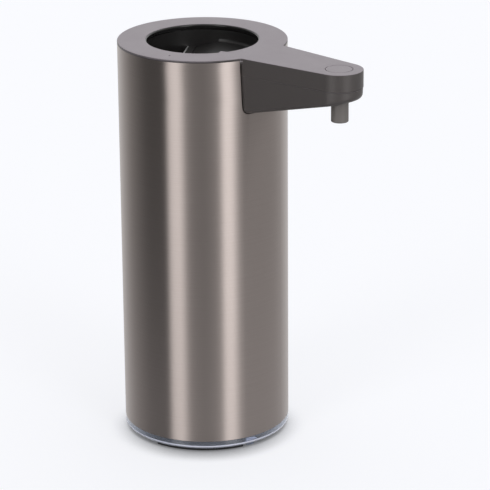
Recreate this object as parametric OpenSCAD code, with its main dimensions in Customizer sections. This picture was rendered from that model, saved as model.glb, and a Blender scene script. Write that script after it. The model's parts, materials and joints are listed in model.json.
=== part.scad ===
// Automatic soap dispenser: a steel body with an open refill mouth and a spout arm.
// The origin is on the body's axis at the table, +Z is up and +X points along the arm.

/* [Body] */
// Height of the whole dispenser
total_h = 184; // [178:1:200]
// Outer diameter of the body
body_d = 76; // [75:0.5:84]
// Thickness of the steel shell
shell_t = 0.8; // [0.6:0.1:1]
// Height of the clear base below the shell
base_h = 5; // [4.8:0.1:6]
// Wall of the frame and of the tank
liner_t = 1.8; // [1.4:0.1:2.2]

/* [Top] */
// Diameter of the refill mouth
mouth_d = 50.6; // [46:0.2:51.6]
// Thickness of the top plate
cover_t = 1.8; // [1.6:0.1:2.4]
// Height of the top plate's visible edge
cover_edge_h = 1; // [0.6:0.1:1.4]
// Thickness of the lip that covers the tank's neck
lip_t = 0.6; // [0.5:0.1:0.9]
// Diameter of the status light's hole
light_hole_d = 1; // [0.8:0.1:1.6]
// Depth of the filler guard's floor below the top
guard_depth = 8; // [6:0.5:10]

/* [Arm] */
// Distance from the body's axis to the arm's tip
arm_reach = 89; // [86:1:100]
// Width of the arm at the body
arm_root_w = 28; // [26:0.5:29]
// Width of the arm at its round tip
arm_tip_w = 21; // [20.6:0.2:23]
// Height of the arm at the body
arm_root_h = 25.2; // [23:0.2:28]
// Height of the arm at the outlet
arm_tip_h = 15; // [14.6:0.2:17]
// Height of the arm's upper half
arm_seam_h = 7.8; // [7.4:0.1:8.6]
// Wall of the arm
arm_wall = 1.6; // [1.2:0.1:1.8]
// Radius of the arm's lower edges
arm_fillet = 3; // [2.2:0.1:4]

/* [Outlet] */
// Outer diameter of the nozzle
nozzle_d = 7.6; // [6.4:0.1:8]
// Bore of the nozzle
nozzle_bore = 4; // [3:0.1:4.4]
// Length of the nozzle below the arm
nozzle_drop = 8.2; // [6:0.2:12]
// Outer diameter of the soap tube
tube_od = 6; // [5:0.1:6.2]
// Bore of the soap tube
tube_id = 4; // [3:0.1:4.2]

/* [Button and sensor] */
// Diameter of the power button
button_d = 12; // [9:0.2:12.4]
// Travel of the power button
button_travel = 0.6; // [0.3:0.05:0.65]
// Place of the sensor window, as a share of the arm's length beyond the body
sensor_share = 0.555; // [0.52:0.005:0.57]
// Width of the sensor window
window_w = 11; // [9:0.5:12]

/* [Batteries] */
// Diameter of a cell
cell_d = 14.5; // [13.5:0.1:14.5]
// Length of a cell with its button
cell_l = 50.5; // [49:0.1:51]
// Height of a squeezed battery spring
cell_spring_h = 3.5; // [3.2:0.1:4.5]

/* [Pump and motor] */
// Diameter of the motor
motor_d = 20; // [17:0.5:20]
// Length of the motor's case
motor_l = 26; // [22:0.5:27]
// Height of the pump's gears
pump_gear_h = 6; // [4:0.5:6.5]
// Width of the drive gears
drive_gear_h = 4.5; // [3:0.5:5]

/* [Fits] */
// Gap round fixed pieces that slide into each other
fit_gap = 0.3; // [0.2:0.05:0.35]
// Radial gap round turning pieces
run_gap = 0.05; // [0.03:0.01:0.08]

/* [Hidden] */

$fn = 96;
over = 1;
deg = 180 / PI;

// Body, from the outside in
body_r = body_d / 2;
shell_ri = body_r - shell_t;
liner_ro = shell_ri - fit_gap;
liner_ri = liner_ro - liner_t;
shell_z1 = total_h - cover_edge_h;

// Base, from the table up
pad_t = 1.3;
pad_inset = 1.6;
pad_ro = body_r - pad_inset;
pad_gap_azs = [6, 126, 246];
pad_gap_arc = 54;
pad_web_w = 3;
plate_t = 2;
plate_z1 = pad_t + plate_t;
plate_inset = 4.7;
plate_r = body_r - plate_inset;
ring_inset = 0.1;
ring_ro = body_r - ring_inset;
ring_round = 1.6;
spigot_h = 3;
spigot_z1 = base_h + spigot_h;
spigot_t = 2;
lug_az = -15;
lug_w = 4;
lug_lift = 0.2;
lug_hold = 1.8;
lug_ri = plate_r - lug_hold;
key_gap = 0.2;
screw_azs = [50, 170, 290];
base_screw_inset = 8;
base_screw_ring = body_r - base_screw_inset;
base_screw_r = 1.4;
base_head_r = 2.4;
base_head_h = 1.2;
base_boss_r = 3.2;
base_boss_h = 4.5;

// Battery cover with its turning lock
door_inset = 13;
door_r = body_r - door_inset;
door_land = 2.2;
ring_ri = door_r + door_land;
pad_land = 2.4;
pad_ri = door_r + pad_land;
door_gap = 0.3;
door_lift = 0.5;
neck_inset = 0.9;
neck_r = door_r - neck_inset;
neck_t = 3.1;
neck_ri = neck_r - neck_t;
well_r = neck_r + door_gap;
floor_t = 1.5;
floor_z1 = base_h + floor_t;
roof_t = 1.2;
roof_z1 = floor_z1 + roof_t;
neck_top_gap = 0.1;
bayonet_azs = [90, 210, 330];
bayonet_turn = 30;
bayonet_a = 18;
bayonet_slot_a = 22;
bayonet_out = 1.4;
bayonet_ro = door_r + bayonet_out;
bayonet_t = 1.1;
coin_l = 16;
coin_w = 2;
coin_depth = 1.2;
door_seal_r = 0.6;
door_seal_rise = 0.7;
door_seal_z = base_h + door_seal_rise;
door_groove_depth = 1.1;
door_groove_r = neck_r - door_groove_depth;

// Battery compartment
cell_r = cell_d / 2;
cell_nub_r = 2.75;
cell_nub_h = 1;
cell_gap = 0.5;
cell_pitch = cell_d + cell_gap;
cells_x = -6;
sleeve_gap = 0.25;
sleeve_in = cell_pitch / 2 + cell_r + sleeve_gap;
sleeve_wall = 1.2;
sleeve_out = sleeve_in + sleeve_wall;
sleeve_round = 7.2;
sleeve_x1 = cells_x + sleeve_out;
carrier_z0 = floor_z1;
carrier_t = 1;
carrier_slack = 0.2;
contact_t = 0.3;
contact_w = 8;
contact_z0 = carrier_z0 + carrier_t;
cell_z0 = contact_z0 + contact_t;
cell_z1 = cell_z0 + cell_spring_h + cell_l;
spring_wire_r = 0.3;
spring_r0 = 5;
spring_r1 = 3;
spring_turns = 3;

// Motor and gear train
motor_r = motor_d / 2;
motor_y = -7.5;
motor_seat_h = 3;
motor_z0 = floor_z1 + motor_seat_h;
motor_z1 = motor_z0 + motor_l;
cradle_gap = 0.3;
cradle_wall = 1.2;
cradle_r = motor_r + cradle_gap;
cradle_lip = 3;
can_t = 1.8;
boss_r = 3;
boss_h = 1.4;
shaft_r = 1;
armature_r = 7.4;
armature_h = 14;
commutator_r = 2.6;
commutator_h = 4;
slot_w = 1.6;
gear_m = 0.5;
pinion_teeth = 12;
drive_teeth = 36;
gear_pa = 25;
gear_add_share = 0.9;
gear_ded_share = 1.25;
gear_slack = 0.09;
gear_centres = gear_m * (pinion_teeth + drive_teeth) / 2;
gear_ro = gear_m * (drive_teeth / 2 + gear_add_share);
pinion_ro = gear_m * (pinion_teeth / 2 + gear_add_share);
gear_room = 0.45;
box_wall = 1.2;
box_r = gear_ro + gear_room + box_wall;
box_motor_r = 11;
box_floor_t = 2.2;
box_z0 = motor_z1;
box_floor_z = box_z0 + box_floor_t;
gear_lift = 1;
gear_z0 = box_floor_z + gear_lift;
box_top_room = 4.3;
box_z1 = gear_z0 + drive_gear_h + box_top_room;
motor_x = sleeve_x1 + fit_gap + box_r;
pump_y = motor_y + gear_centres;

// Gear pump
pump_m = 1;
pump_teeth = 9;
pump_pa = 28;
pump_slack = 0.14;
pump_ded_share = 1.3;
pump_pitch_r = pump_m * pump_teeth / 2;
idler_y = pump_y - 2 * pump_pitch_r;
mesh_y = pump_y - pump_pitch_r;
pump_gear_ro = pump_pitch_r + pump_m * gear_add_share;
chamber_gap = 0.1;
chamber_r = pump_gear_ro + chamber_gap;
pump_floor_t = 3;
pump_z0 = box_z1;
chamber_z0 = pump_z0 + pump_floor_t;
chamber_z1 = chamber_z0 + pump_gear_h + chamber_gap;
gasket_t = 0.4;
lid_z0 = chamber_z1 + gasket_t;
lid_t = 3;
lid_z1 = lid_z0 + lid_t;
deck_gap = 2.1;
sleeve_top_z = cell_z1 + contact_t;
deck_z0 = max(sleeve_top_z, lid_z1 + deck_gap);
deck_t = 1.8;
deck_z1 = deck_z0 + deck_t;
pump_half_l = 9;
pump_half_w = 13.5;
pump_corner = 2.5;
port_r = 2;
port_dx = 4.2;
pump_shaft_r = 1.5;
bearing_depth = 1.8;
pump_screw_dx = 6.8;
pump_screw_dy = 11;
pump_screw_r = 1;
pump_head_r = 1.9;
pump_head_h = 1.3;
pump_screw_short = 4;
pump_screw_long = 6;
shaft_seal_r = 3.5;
shaft_seal_h = 1.8;
seal_slack = 0.05;
box_spigot_h = 0.8;

// Tank and its outlet
tank_foot_h = 2.5;
tank_floor_t = 2;
tank_z0 = deck_z1;
tank_floor_z0 = tank_z0 + tank_foot_h;
tank_floor_z1 = tank_floor_z0 + tank_floor_t;
arm_low_z = total_h - arm_root_h;
shoulder_drop = 4.6;
shoulder_z0 = arm_low_z - shoulder_drop;
shoulder_h = 10.5;
shoulder_z1 = shoulder_z0 + shoulder_h;
shoulder_in = 0.6;
mouth_r = mouth_d / 2;
mouth_neck_ro = mouth_r + liner_t;
tank_rim_z = total_h - lip_t;
step_w = 1.1;
step_drop = 6;
step_z = total_h - guard_depth - step_drop;
throat_r = mouth_r - step_w;
channel_x = mouth_neck_ro + fit_gap;
channel_half = 9.5;
inlet_x = motor_x - port_dx;
cup_wall = 0.6;
cup_top_gap = 0.8;
cup_h = tank_floor_z0 - lid_z1 - cup_top_gap;
spigot_ro = 3.6;
spigot_ri = 2.2;
tank_seal_t = 1.25;
cup_ri = spigot_ro + tank_seal_t + seal_slack;
cup_ro = cup_ri + cup_wall;
tank_spigot_gap = 1.5;
tank_spigot_z0 = lid_z1 + tank_spigot_gap;
strainer_r = 6;
strainer_t = 1;
strainer_rise = 0.6;
strainer_hole_r = 0.6;
strainer_pitch = 1.9;

// Filler guard, measured along the line from its high side to its pouring side
guard_az = 212.5;
guard_gap = 0.2;
guard_r = mouth_r - guard_gap;
guard_t = 1.5;
guard_skirt_t = 0.8;
guard_bend_w = -3.3;
guard_low_w = 7.06;
guard_edge_w = 10.8;
guard_fall = 2.6;
guard_lip_h = 0.5;
guard_fillet = 1.6;

// Top cover
skirt_t = 1.6;
skirt_h = 7.2;
rebate_gap = 0.3;
mouth_chamfer = 0.25;
tab_az = -27.5;
tab_w = 5;
tab_l = 2.8;
led_az = -75;
led_ring = 31.6;
led_r = 1.5;
led_z1 = total_h - cover_t;
led_h = 3.6;
lens_slack = 0.05;
collar_wall = 1;
collar_h = 3.2;
led_seat_gap = 0.05;

// Arm outline
tip_r = arm_tip_w / 2;
tip_x = arm_reach - tip_r;
root_half = arm_root_w / 2;
arm_corner_inset = 1;
arm_x1 = body_r - arm_corner_inset;
seam_z = total_h - arm_seam_h;
arm_dx = tip_x - arm_x1;
arm_slope = (arm_root_h - arm_tip_h) / arm_dx;
arm_slope_a = atan(arm_slope);
arm_taper = atan2(root_half, arm_dx) - asin(tip_r / norm([root_half, arm_dx]));
notch_gap = 0.3;
tongue_gap = 0.15;
tongue_t = 0.9;
tongue_h = 1.2;
tongue_root = 2;
tongue_bite = 0.2;
boss_share = 0.193;
boss_x = arm_x1 + boss_share * arm_dx;
boss_y = 8;
boss_out = 2.9;
boss_upper_out = 2.6;
spout_screw_r = 1.2;
spout_head_r = 2.2;
spout_head_h = 1.3;
spout_head_depth = 12.5;
spout_head_z = total_h - spout_head_depth;
spout_screw_depth = 3.4;
spout_screw_top = total_h - spout_screw_depth;
cross_rib_t = 1.2;
cross_rib_half = 8;
flank_bite = 0.02;
// An odd count, so that the outline's points lie in pairs across the arm
arc_steps = 23;
fillet_steps = 4;

// Outlet
nozzle_r = nozzle_d / 2;
nozzle_ri = nozzle_bore / 2;
nozzle_shift = 0.5;
nozzle_x = tip_x + nozzle_shift;
nozzle_z0 = total_h - arm_tip_h - nozzle_drop;
nozzle_hole_gap = 0.2;
tube_r = tube_od / 2;
tube_ri = tube_id / 2;
tube_wall_gap = 0.9;
tube_x = liner_ri - tube_r - tube_wall_gap;
tube_bend = 9;
arm_x0 = tube_x + tube_r + fit_gap;
tube_end_gap = 0.1;
elbow_l = 5;
barb_l = 5.5;
barb_r = tube_ri - run_gap;
barb_wall = 0.75;
barb_bore_r = barb_r - barb_wall;
seat_r = 4.7;
seat_rise = 0.1;
seat_z = arm_low_z + arm_slope * (nozzle_x + seat_r - arm_x1) + arm_wall + seat_rise;
tube_z = seat_z + tube_r + run_gap;
nozzle_flange_r = 4.4;
nozzle_flange_t = 1;
nose_wall = 0.4;
nose_r = tube_r + nose_wall;
passage_h = 1.4;
passage_half = 1.5;
outlet_barb_h = 6;
valve_depth = 4.2;
valve_wall = 0.8;
valve_r = nozzle_r - valve_wall;
valve_collar_h = 1.2;
valve_bore_r = 1.2;
valve_lip_w = 3.4;
valve_lip_t = 0.9;
valve_slit_t = 0.15;
valve_inset = 0.4;

// Power button, its switch and its board
button_r = button_d / 2;
button_gap = 0.25;
flange_w = 1;
flange_r = button_r + flange_w;
flange_t = 0.8;
flange_gap = 0.2;
flange_z0 = total_h - cover_t - flange_gap - flange_t;
stem_r = 1.4;
stem_h = 0.2;
switch_w = 5.6;
switch_h = 1;
plunger_r = 1.5;
plunger_h = 0.35;
button_stop_gap = 0.05;
button_spring_h = stem_h + button_travel + button_stop_gap + plunger_h + switch_h;
board_z1 = flange_z0 - button_spring_h;
board_t = 0.6;
board_edge_gap = 0.2;
board_r = tip_r - arm_wall - board_edge_gap;
board_tail_l = 14;
board_x0 = tip_x - board_tail_l;
board_tail_half = 6;
post_r = 0.8;
post_edge_gap = 0.1;
post_y = tip_r - arm_wall - post_r - post_edge_gap;
button_wire_r = 0.18;
button_coil_r = 4.6;
button_turns = 2;

// Sensor
sensor_x = arm_x1 + sensor_share * arm_dx;
sensor_board_share = 0.434;
sensor_board_l = sensor_board_share * arm_dx;
window_inset = 6;
window_l = sensor_board_l - window_inset;
sensor_board_half = 7;
sensor_board_depth = 14.2;
sensor_board_z = total_h - sensor_board_depth;
sensor_board_t = 1;
eye_r = 1.5;
eye_y = 4;
eye_l = 2;
window_rim = 1;
window_rim_t = 0.8;
window_gap = 0.1;
window_seat_gap = 0.03;

// Main board
main_gap = 5;
main_y = sleeve_out + main_gap;
main_t = 1.6;
main_x0 = -18;
main_x1 = 14;
main_lift = 5.5;
main_z0 = floor_z1 + main_lift;
main_h = 43;
main_z1 = main_z0 + main_h;
slot_depth = 1.4;
rail_w = 3;
rail_l = 5;
rail_h = 24;
chip_w = 7;
chip_t = 1.6;
cap_r = 3;
cap_h = 4.4;
plug_l = 8;
plug_d = 4;
plug_h = 6;
plug_x = 8;
plug_inset = 1;
chip_inset = 3.2;
chip_step_share = 1.35;

// Leads, through the deck, the tank's channel and the arm
lead_r = 0.8;
led_lead_r = 0.6;
lead_hole_r = 2.2;
lead_offset = 0.3;
lead_x = tube_x + lead_offset;
lead_y = 6;
lead_under_z = (lid_z1 + deck_z0) / 2;
lead_arm_z = sensor_board_z + sensor_board_t / 2;
lead_steps = 5;
lead_end_gap = 0.15;
lead_sides = 8;
led_xy = led_ring * [cos(led_az), sin(led_az)];
led_turn = 31.4;
led_drop = 2.6;
led_low_z = led_z1 - led_h - led_drop;
led_arc_azs = [-70, -60, -50, -40, -30];
led_bend = [33, -9.5];
led_arm_bend = [39, -5.6];
led_side_y = -4.2;
led_board_route = [[-4, 0], [1.5, 1.4]];
led_pad_x = 2.5;
cable_plug_rise = 3;
cable_plug_bend = [4, -4, -0.3];
cable_bends = [[22, 12], [29, 7.6]];
cable_turn = [-0.4, 0.3, 0.8];
cable_channel_route = [-30, 1];
cable_arm_route = [[2, -1, -4], [7, -2.4, 0]];
cable_end = [44, 3];
cross_l_share = 0.6;
cross_w_share = 0.14;
cross_depth_share = 0.3;
shaft_end_gap = 4 * run_gap;
motor_end_gap = 6 * run_gap;

// Unit vector
function unit(v) = v / norm(v);
// Involute of an angle, in degrees
function involute(a) = tan(a) * deg - a;
// Half the angle of a gear tooth at radius r
function tooth_half(r, rb, rp, teeth, pa, slack) =
  90 / teeth - slack / 2 / rp * deg + involute(pa) - involute(acos(min(1, rb / r)));
// One cubic stretch between b and c
function stretch(a, b, c, d, t) =
  (2 * b + (c - a) * t + (2 * a - 5 * b + 4 * c - d) * t * t
  + (3 * b - a - 3 * c + d) * t * t * t) / 2;
// Smooth curve through all points
function smooth(p, steps) = [
  for (i = [0 : len(p) - 2]) for (k = [0 : steps - 1])
    stretch(p[max(i - 1, 0)], p[i], p[i + 1], p[min(i + 2, len(p) - 1)], k / steps),
  p[len(p) - 1]
];
function directions(p) = [
  for (i = [0 : len(p) - 1]) unit(p[min(i + 1, len(p) - 1)] - p[max(i - 1, 0)])
];
function square_to(n, t) = unit(n - (n * t) * t);
// Sideways directions carried along a curve without twist
function sideways(t, first) = [
  for (i = 0, n = square_to(first, t[0]); i < len(t);
    i = i + 1, n = square_to(n, t[min(i, len(t) - 1)])) n
];
// Side faces of rings with m points each, listed from the first ring to the last
function side_faces(rings, m) = [
  for (i = [0 : rings - 2]) for (j = [0 : m - 1]) for (half = [0, 1])
    let (a = i * m + j, b = i * m + (j + 1) % m)
    half == 0 ? [a, a + m, b + m] : [a, b + m, b]
];
// Strips that close a ring whose points lie in pairs across the arm
function strip_faces(first, m, up) = [
  for (i = [0 : m / 2 - 2]) for (half = [0, 1])
    let (a = first + i, b = a + 1, c = first + m - 2 - i, d = c + 1,
      face = half == 0 ? [a, b, c] : [a, c, d])
    up ? [face[2], face[1], face[0]] : face
];
// Least distance between points of a coil that lie more than half a turn apart
function coil_gap(p, turn_points, wire) =
  min([for (i = [0 : len(p) - 1]) for (j = [i + floor(turn_points / 2) + 1 : 1 : len(p) - 1])
    norm(p[i] - p[j])]) - wire;

module at_az(az, r) rotate([0, 0, az]) translate([r, 0, 0]) children();

module ring(ro, ri, z0, z1) translate([0, 0, z0]) difference() {
  cylinder(r = ro, h = z1 - z0);
  translate([0, 0, -over]) cylinder(r = ri, h = z1 - z0 + 2 * over);
}

module rod(r, z0, z1) translate([0, 0, z0]) cylinder(r = r, h = z1 - z0);

module box(low, high) translate(low) cube(high - low);

// Part of a ring between two angles about an azimuth
module sector(az, angle, ri, ro, z0, z1) rotate([0, 0, az - angle / 2])
  rotate_extrude(angle = angle) translate([ri, z0]) square([ro - ri, z1 - z0]);

// Round tube along a list of points
module sweep(p, r, sides, first) {
  t = directions(p);
  n = sideways(t, first);
  points = [
    for (i = [0 : len(p) - 1]) for (j = [0 : sides - 1])
      let (a = 360 * j / sides)
      p[i] + r * (cos(a) * n[i] + sin(a) * cross(t[i], n[i]))
  ];
  last = (len(p) - 1) * sides;
  polyhedron(points, concat(
    side_faces(len(p), sides),
    [for (j = [1 : sides - 2]) [0, j, j + 1]],
    [for (j = [1 : sides - 2]) [last, last + j + 1, last + j]]
  ));
}

// Points of a coil from its lower to its upper end
function coil(r0, r1, height, turns, per_turn) = [
  for (i = [0 : turns * per_turn])
    let (s = i / (turns * per_turn), a = 360 * i / per_turn, r = r0 + (r1 - r0) * s)
    [r * cos(a), r * sin(a), height * s]
];

// Outline of an involute gear
module gear_shape(teeth, m, pa, slack, phase, ded) {
  steps = 4;
  rp = m * teeth / 2;
  rb = rp * cos(pa);
  ra = rp + m * gear_add_share;
  rr = rp - m * ded;
  rf = max(rb, rr);
  flank = concat(
    rb > rr ? [[rr, tooth_half(rb, rb, rp, teeth, pa, slack)]] : [],
    [for (k = [0 : steps]) let (r = rf + (ra - rf) * k / steps)
      [r, tooth_half(r, rb, rp, teeth, pa, slack)]]
  );
  last = len(flank) - 1;
  polygon([
    for (t = [0 : teeth - 1]) for (s = [-1, 1]) for (k = [0 : last])
      let (f = flank[s < 0 ? k : last - k], a = phase + 360 * t / teeth + s * f[1])
      f[0] * [cos(a), sin(a)]
  ]);
}

// The arm's plan as an upright block, drawn in by an inset and starting at x0
module arm_block(inset, x0, z0, z1) {
  w = root_half - inset;
  r = tip_r - inset;
  x1 = arm_x1 - inset * tan(arm_taper / 2);
  xt = tip_x + (r - flank_bite) * sin(arm_taper);
  yt = (r - flank_bite) * cos(arm_taper);
  translate([0, 0, z0]) linear_extrude(z1 - z0) {
    polygon([[x0, -w], [x1, -w], [xt, -yt], [xt, yt], [x1, w], [x0, w]]);
    translate([tip_x, 0]) circle(r);
  }
}

// The same plan as points, anticlockwise from the root's right corner
function arm_points(inset, x0) =
  let (w = root_half - inset, r = tip_r - inset, x1 = arm_x1 - inset * tan(arm_taper / 2),
    a0 = arm_taper - 90, span = 180 - 2 * arm_taper)
  concat(
    [[x0, -w], [x1, -w]],
    [for (k = [0 : arc_steps]) let (a = a0 + span * k / arc_steps)
      [tip_x + r * cos(a), r * sin(a)]],
    [[x1, w], [x0, w]]
  );

// The block with the tip in flat facets, as the loft has it
module arm_slab(inset, x0, z0, z1) translate([0, 0, z0]) linear_extrude(z1 - z0)
  polygon(arm_points(inset, x0));

// Height of the arm's underside over a point at x
function arm_low(x) = arm_low_z + arm_slope * max(0, x - arm_x1);

// Lower half of the arm as one solid with rounded lower edges
module arm_loft(inset, lift, round, x0, z1) {
  rings = concat(
    [for (k = [fillet_steps : -1 : 0]) let (a = 90 * k / fillet_steps)
      [for (p = arm_points(inset + round * (1 - cos(a)), x0))
        [p[0], p[1], arm_low(p[0]) + lift + round * (1 - sin(a))]]],
    [[for (p = arm_points(inset, x0)) [p[0], p[1], z1]]]
  );
  m = len(rings[0]);
  points = [for (ring = rings) for (p = ring) p];
  polyhedron(points, concat(
    side_faces(len(rings), m),
    strip_faces(0, m, false),
    strip_faces((len(rings) - 1) * m, m, true)
  ));
}

// The arm's opening in the shell, open at the top
module arm_notch() {
  half = root_half + notch_gap;
  low = arm_low_z - notch_gap;
  r = arm_fillet + notch_gap;
  translate([arm_x0, 0, 0]) rotate([90, 0, 90]) linear_extrude(body_r - arm_x0 + over) {
    translate([-half, low + r]) square([2 * half, arm_root_h + over]);
    translate([r - half, low]) square([2 * (half - r), r + over]);
    for (s = [-1, 1]) translate([s * (half - r), low + r]) circle(r);
  }
}

module outer_shell() color("#6f6662") difference() {
  ring(body_r, shell_ri, base_h, shell_z1);
  arm_notch();
}

// Bosses, posts and the light's collar below the top plate
module cover_bosses() {
  for (s = [-1, 1]) {
    translate([boss_x, s * boss_y, 0]) rod(boss_upper_out, seam_z, total_h - cover_t + lip_t);
    translate([tip_x, s * post_y, 0]) rod(post_r, board_z1, total_h - cover_t + lip_t);
  }
  at_az(led_az, led_ring)
    rod(led_r + led_seat_gap + collar_wall, led_z1 - collar_h, led_z1 + lip_t);
}

module top_cover() color("#a09b9e") difference() {
  union() {
    difference() {
      union() {
        rod(body_r, shell_z1, total_h);
        rod(liner_ro, total_h - cover_t, shell_z1 + lip_t / 2);
        arm_block(0, arm_x0, seam_z, total_h);
        arm_block(0, channel_x, shell_z1, total_h);
        difference() {
          ring(liner_ro, liner_ro - skirt_t, total_h - cover_t - skirt_h, total_h - cover_t);
          box([0, -root_half - notch_gap, seam_z - arm_root_h],
            [body_r, root_half + notch_gap, total_h - cover_t]);
        }
      }
      arm_block(arm_wall, arm_x0 - over, seam_z - over, total_h - cover_t);
      rod(mouth_r, total_h - cover_t - over, total_h + over);
      rod(mouth_neck_ro + rebate_gap, seam_z, total_h - lip_t);
    }
    cover_bosses();
    translate([0, 0, total_h - lip_t]) linear_extrude(lip_t) rotate([0, 0, tab_az])
      polygon([[mouth_r + lip_t, -tab_w / 2], [mouth_r - tab_l, 0], [mouth_r + lip_t, tab_w / 2]]);
  }
  translate([0, 0, total_h - mouth_chamfer])
    cylinder(r1 = mouth_r, r2 = mouth_r + mouth_chamfer + over, h = mouth_chamfer + over);
  translate([tip_x, 0, 0]) rod(button_r + button_gap, board_z1, total_h + over);
  at_az(led_az, led_ring) {
    rod(light_hole_d / 2, led_z1 - over, total_h + over);
    rod(led_r + led_seat_gap, led_z1 - collar_h - over, led_z1);
  }
  for (s = [-1, 1]) translate([boss_x, s * boss_y, 0])
    rod(spout_screw_r, seam_z - over, spout_screw_top);
}

module cross_rib(x) box([x, -cross_rib_half, arm_low(x)], [x + cross_rib_t, cross_rib_half,
  sensor_board_z]);

module spout_lower_cover() color("#4a4543") difference() {
  union() {
    difference() {
      arm_loft(0, 0, arm_fillet, arm_x0, seam_z);
      arm_loft(arm_wall, arm_wall, arm_fillet - arm_wall, arm_x0 - over, seam_z + over);
    }
    intersection() {
      arm_loft(arm_wall / 2, arm_wall / 2, arm_fillet - arm_wall / 2, arm_x0, seam_z);
      union() {
        for (s = [-1, 1]) translate([boss_x, s * boss_y, 0]) rod(boss_out, arm_low_z, seam_z);
        translate([nozzle_x, 0, 0]) rod(seat_r, arm_low_z, seat_z);
        cross_rib(sensor_x - sensor_board_l / 2);
        cross_rib(sensor_x + sensor_board_l / 2 - cross_rib_t);
      }
    }
    difference() {
      union() {
        arm_slab(arm_wall - tongue_bite, arm_x0, seam_z - tongue_root, seam_z);
        arm_slab(arm_wall + tongue_gap, arm_x0, seam_z - over, seam_z + tongue_h);
      }
      arm_slab(arm_wall + tongue_gap + tongue_t, arm_x0 - over, seam_z - tongue_root - over,
        seam_z + tongue_h + over);
    }
  }
  for (s = [-1, 1]) translate([boss_x, s * boss_y, 0]) {
    rod(spout_screw_r + tongue_gap, arm_low_z - over, seam_z + 2 * tongue_h);
    rod(spout_head_r + tongue_gap, arm_low_z - over, spout_head_z + spout_head_h);
    rod(boss_upper_out + tongue_gap, seam_z, seam_z + 2 * tongue_h);
  }
  translate([nozzle_x, 0, 0]) rod(nozzle_r + nozzle_hole_gap, nozzle_z0, seat_z + over);
  window_block(window_l / 2 + window_gap, window_w / 2 + window_gap, -over, arm_wall + over);
}

module spout_screws() color("#8c8c8c") for (s = [-1, 1])
  translate([boss_x, s * boss_y, 0]) difference() {
    union() {
      rod(spout_head_r, spout_head_z, spout_head_z + spout_head_h);
      rod(spout_screw_r, spout_head_z, spout_screw_top);
    }
    cross_slot(spout_head_z, spout_head_r);
  }

// Cross recess in the lower face of a screw head at z
module cross_slot(z, head_r) for (a = [0, 90]) translate([0, 0, z]) rotate([0, 0, a])
  box([-head_r * cross_l_share, -head_r * cross_w_share, -over],
    [head_r * cross_l_share, head_r * cross_w_share, head_r * cross_depth_share]);

module power_button() color("#a09b9e") translate([tip_x, 0, 0]) {
  rod(button_r, flange_z0 + flange_t, total_h);
  rod(flange_r, flange_z0, flange_z0 + flange_t);
  rod(stem_r, flange_z0 - stem_h, flange_z0);
}

module button_spring() {
  per_turn = 8;
  p = coil(button_coil_r, button_coil_r, button_spring_h - 2 * button_wire_r,
    button_turns, per_turn);
  echo(button_spring_gap = coil_gap(p, per_turn, 2 * button_wire_r));
  color("silver") translate([tip_x, 0, board_z1 + button_wire_r])
    sweep(p, button_wire_r, 6, [1, 0, 0]);
}

module button_board() color("#1f5c3a")
  translate([0, 0, board_z1 - board_t]) linear_extrude(board_t) {
    translate([tip_x, 0]) circle(board_r);
    translate([board_x0, -board_tail_half]) square([board_tail_l, 2 * board_tail_half]);
  }

module button_switch() color("#2a2a2c") translate([tip_x, 0, board_z1]) {
  box([-switch_w / 2, -switch_w / 2, 0], [switch_w / 2, switch_w / 2, switch_h]);
  rod(plunger_r, switch_h, switch_h + plunger_h);
}

module status_led() color("white") at_az(led_az, led_ring) {
  rod(led_r, led_z1 - led_h, led_z1);
  rod(light_hole_d / 2 - lens_slack, led_z1, total_h - lip_t / 2);
}

module led_lead() {
  p = concat(
    [[led_xy[0], led_xy[1], led_z1 - led_h - lead_end_gap],
      [led_xy[0], led_xy[1], led_low_z + 2 * led_lead_r]],
    [for (a = led_arc_azs) [led_turn * cos(a), led_turn * sin(a), led_low_z]],
    [[led_bend[0], led_bend[1], led_low_z]],
    [[led_arm_bend[0], led_arm_bend[1], tube_z],
      [boss_x, led_side_y, tube_z]],
    [for (b = led_board_route) [board_x0 + b[0], led_side_y, tube_z + b[1]]],
    [[board_x0 + led_pad_x, led_side_y, board_z1 - board_t - lead_end_gap]]
  );
  color("#c8c8c8") sweep(smooth(p, 3), led_lead_r, lead_sides, [0, 0.2, 1]);
}

module nozzle() color("#766e68") difference() {
  union() {
    translate([nozzle_x, 0, 0]) {
      rod(nozzle_r, nozzle_z0, tube_z + tube_r);
      rod(nozzle_flange_r, seat_z, seat_z + nozzle_flange_t);
    }
    translate([nozzle_x - elbow_l, 0, tube_z]) rotate([0, 90, 0]) {
      rod(tube_r, 0, elbow_l);
      rod(barb_r, -barb_l, 0);
    }
  }
  translate([nozzle_x, 0, 0]) {
    rod(nozzle_ri, nozzle_z0 - over, tube_z + barb_bore_r);
    rod(valve_r, nozzle_z0 - over, nozzle_z0 + valve_depth);
  }
  translate([nozzle_x - elbow_l, 0, tube_z]) rotate([0, 90, 0])
    rod(barb_bore_r, -barb_l - over, elbow_l);
}

module nozzle_valve() color("#e8e2da") translate([nozzle_x, 0, 0]) difference() {
  union() {
    rod(valve_r - run_gap, nozzle_z0 + valve_depth - valve_collar_h, nozzle_z0 + valve_depth);
    hull() {
      translate([0, 0, nozzle_z0 + valve_depth - valve_collar_h])
        cylinder(r = valve_bore_r + valve_lip_t / 2, h = valve_collar_h / 4, $fn = 32);
      box([-valve_lip_t / 2, -valve_lip_w / 2, nozzle_z0 + valve_inset],
        [valve_lip_t / 2, valve_lip_w / 2, nozzle_z0 + valve_inset + valve_slit_t]);
    }
  }
  rod(valve_bore_r, nozzle_z0 + valve_depth - valve_collar_h, nozzle_z0 + valve_depth + over);
  box([-valve_slit_t / 2, -valve_lip_w / 3, nozzle_z0],
    [valve_slit_t / 2, valve_lip_w / 3, nozzle_z0 + valve_depth]);
}

module tube_profile() difference() {
  circle(tube_r);
  circle(tube_ri);
}

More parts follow.
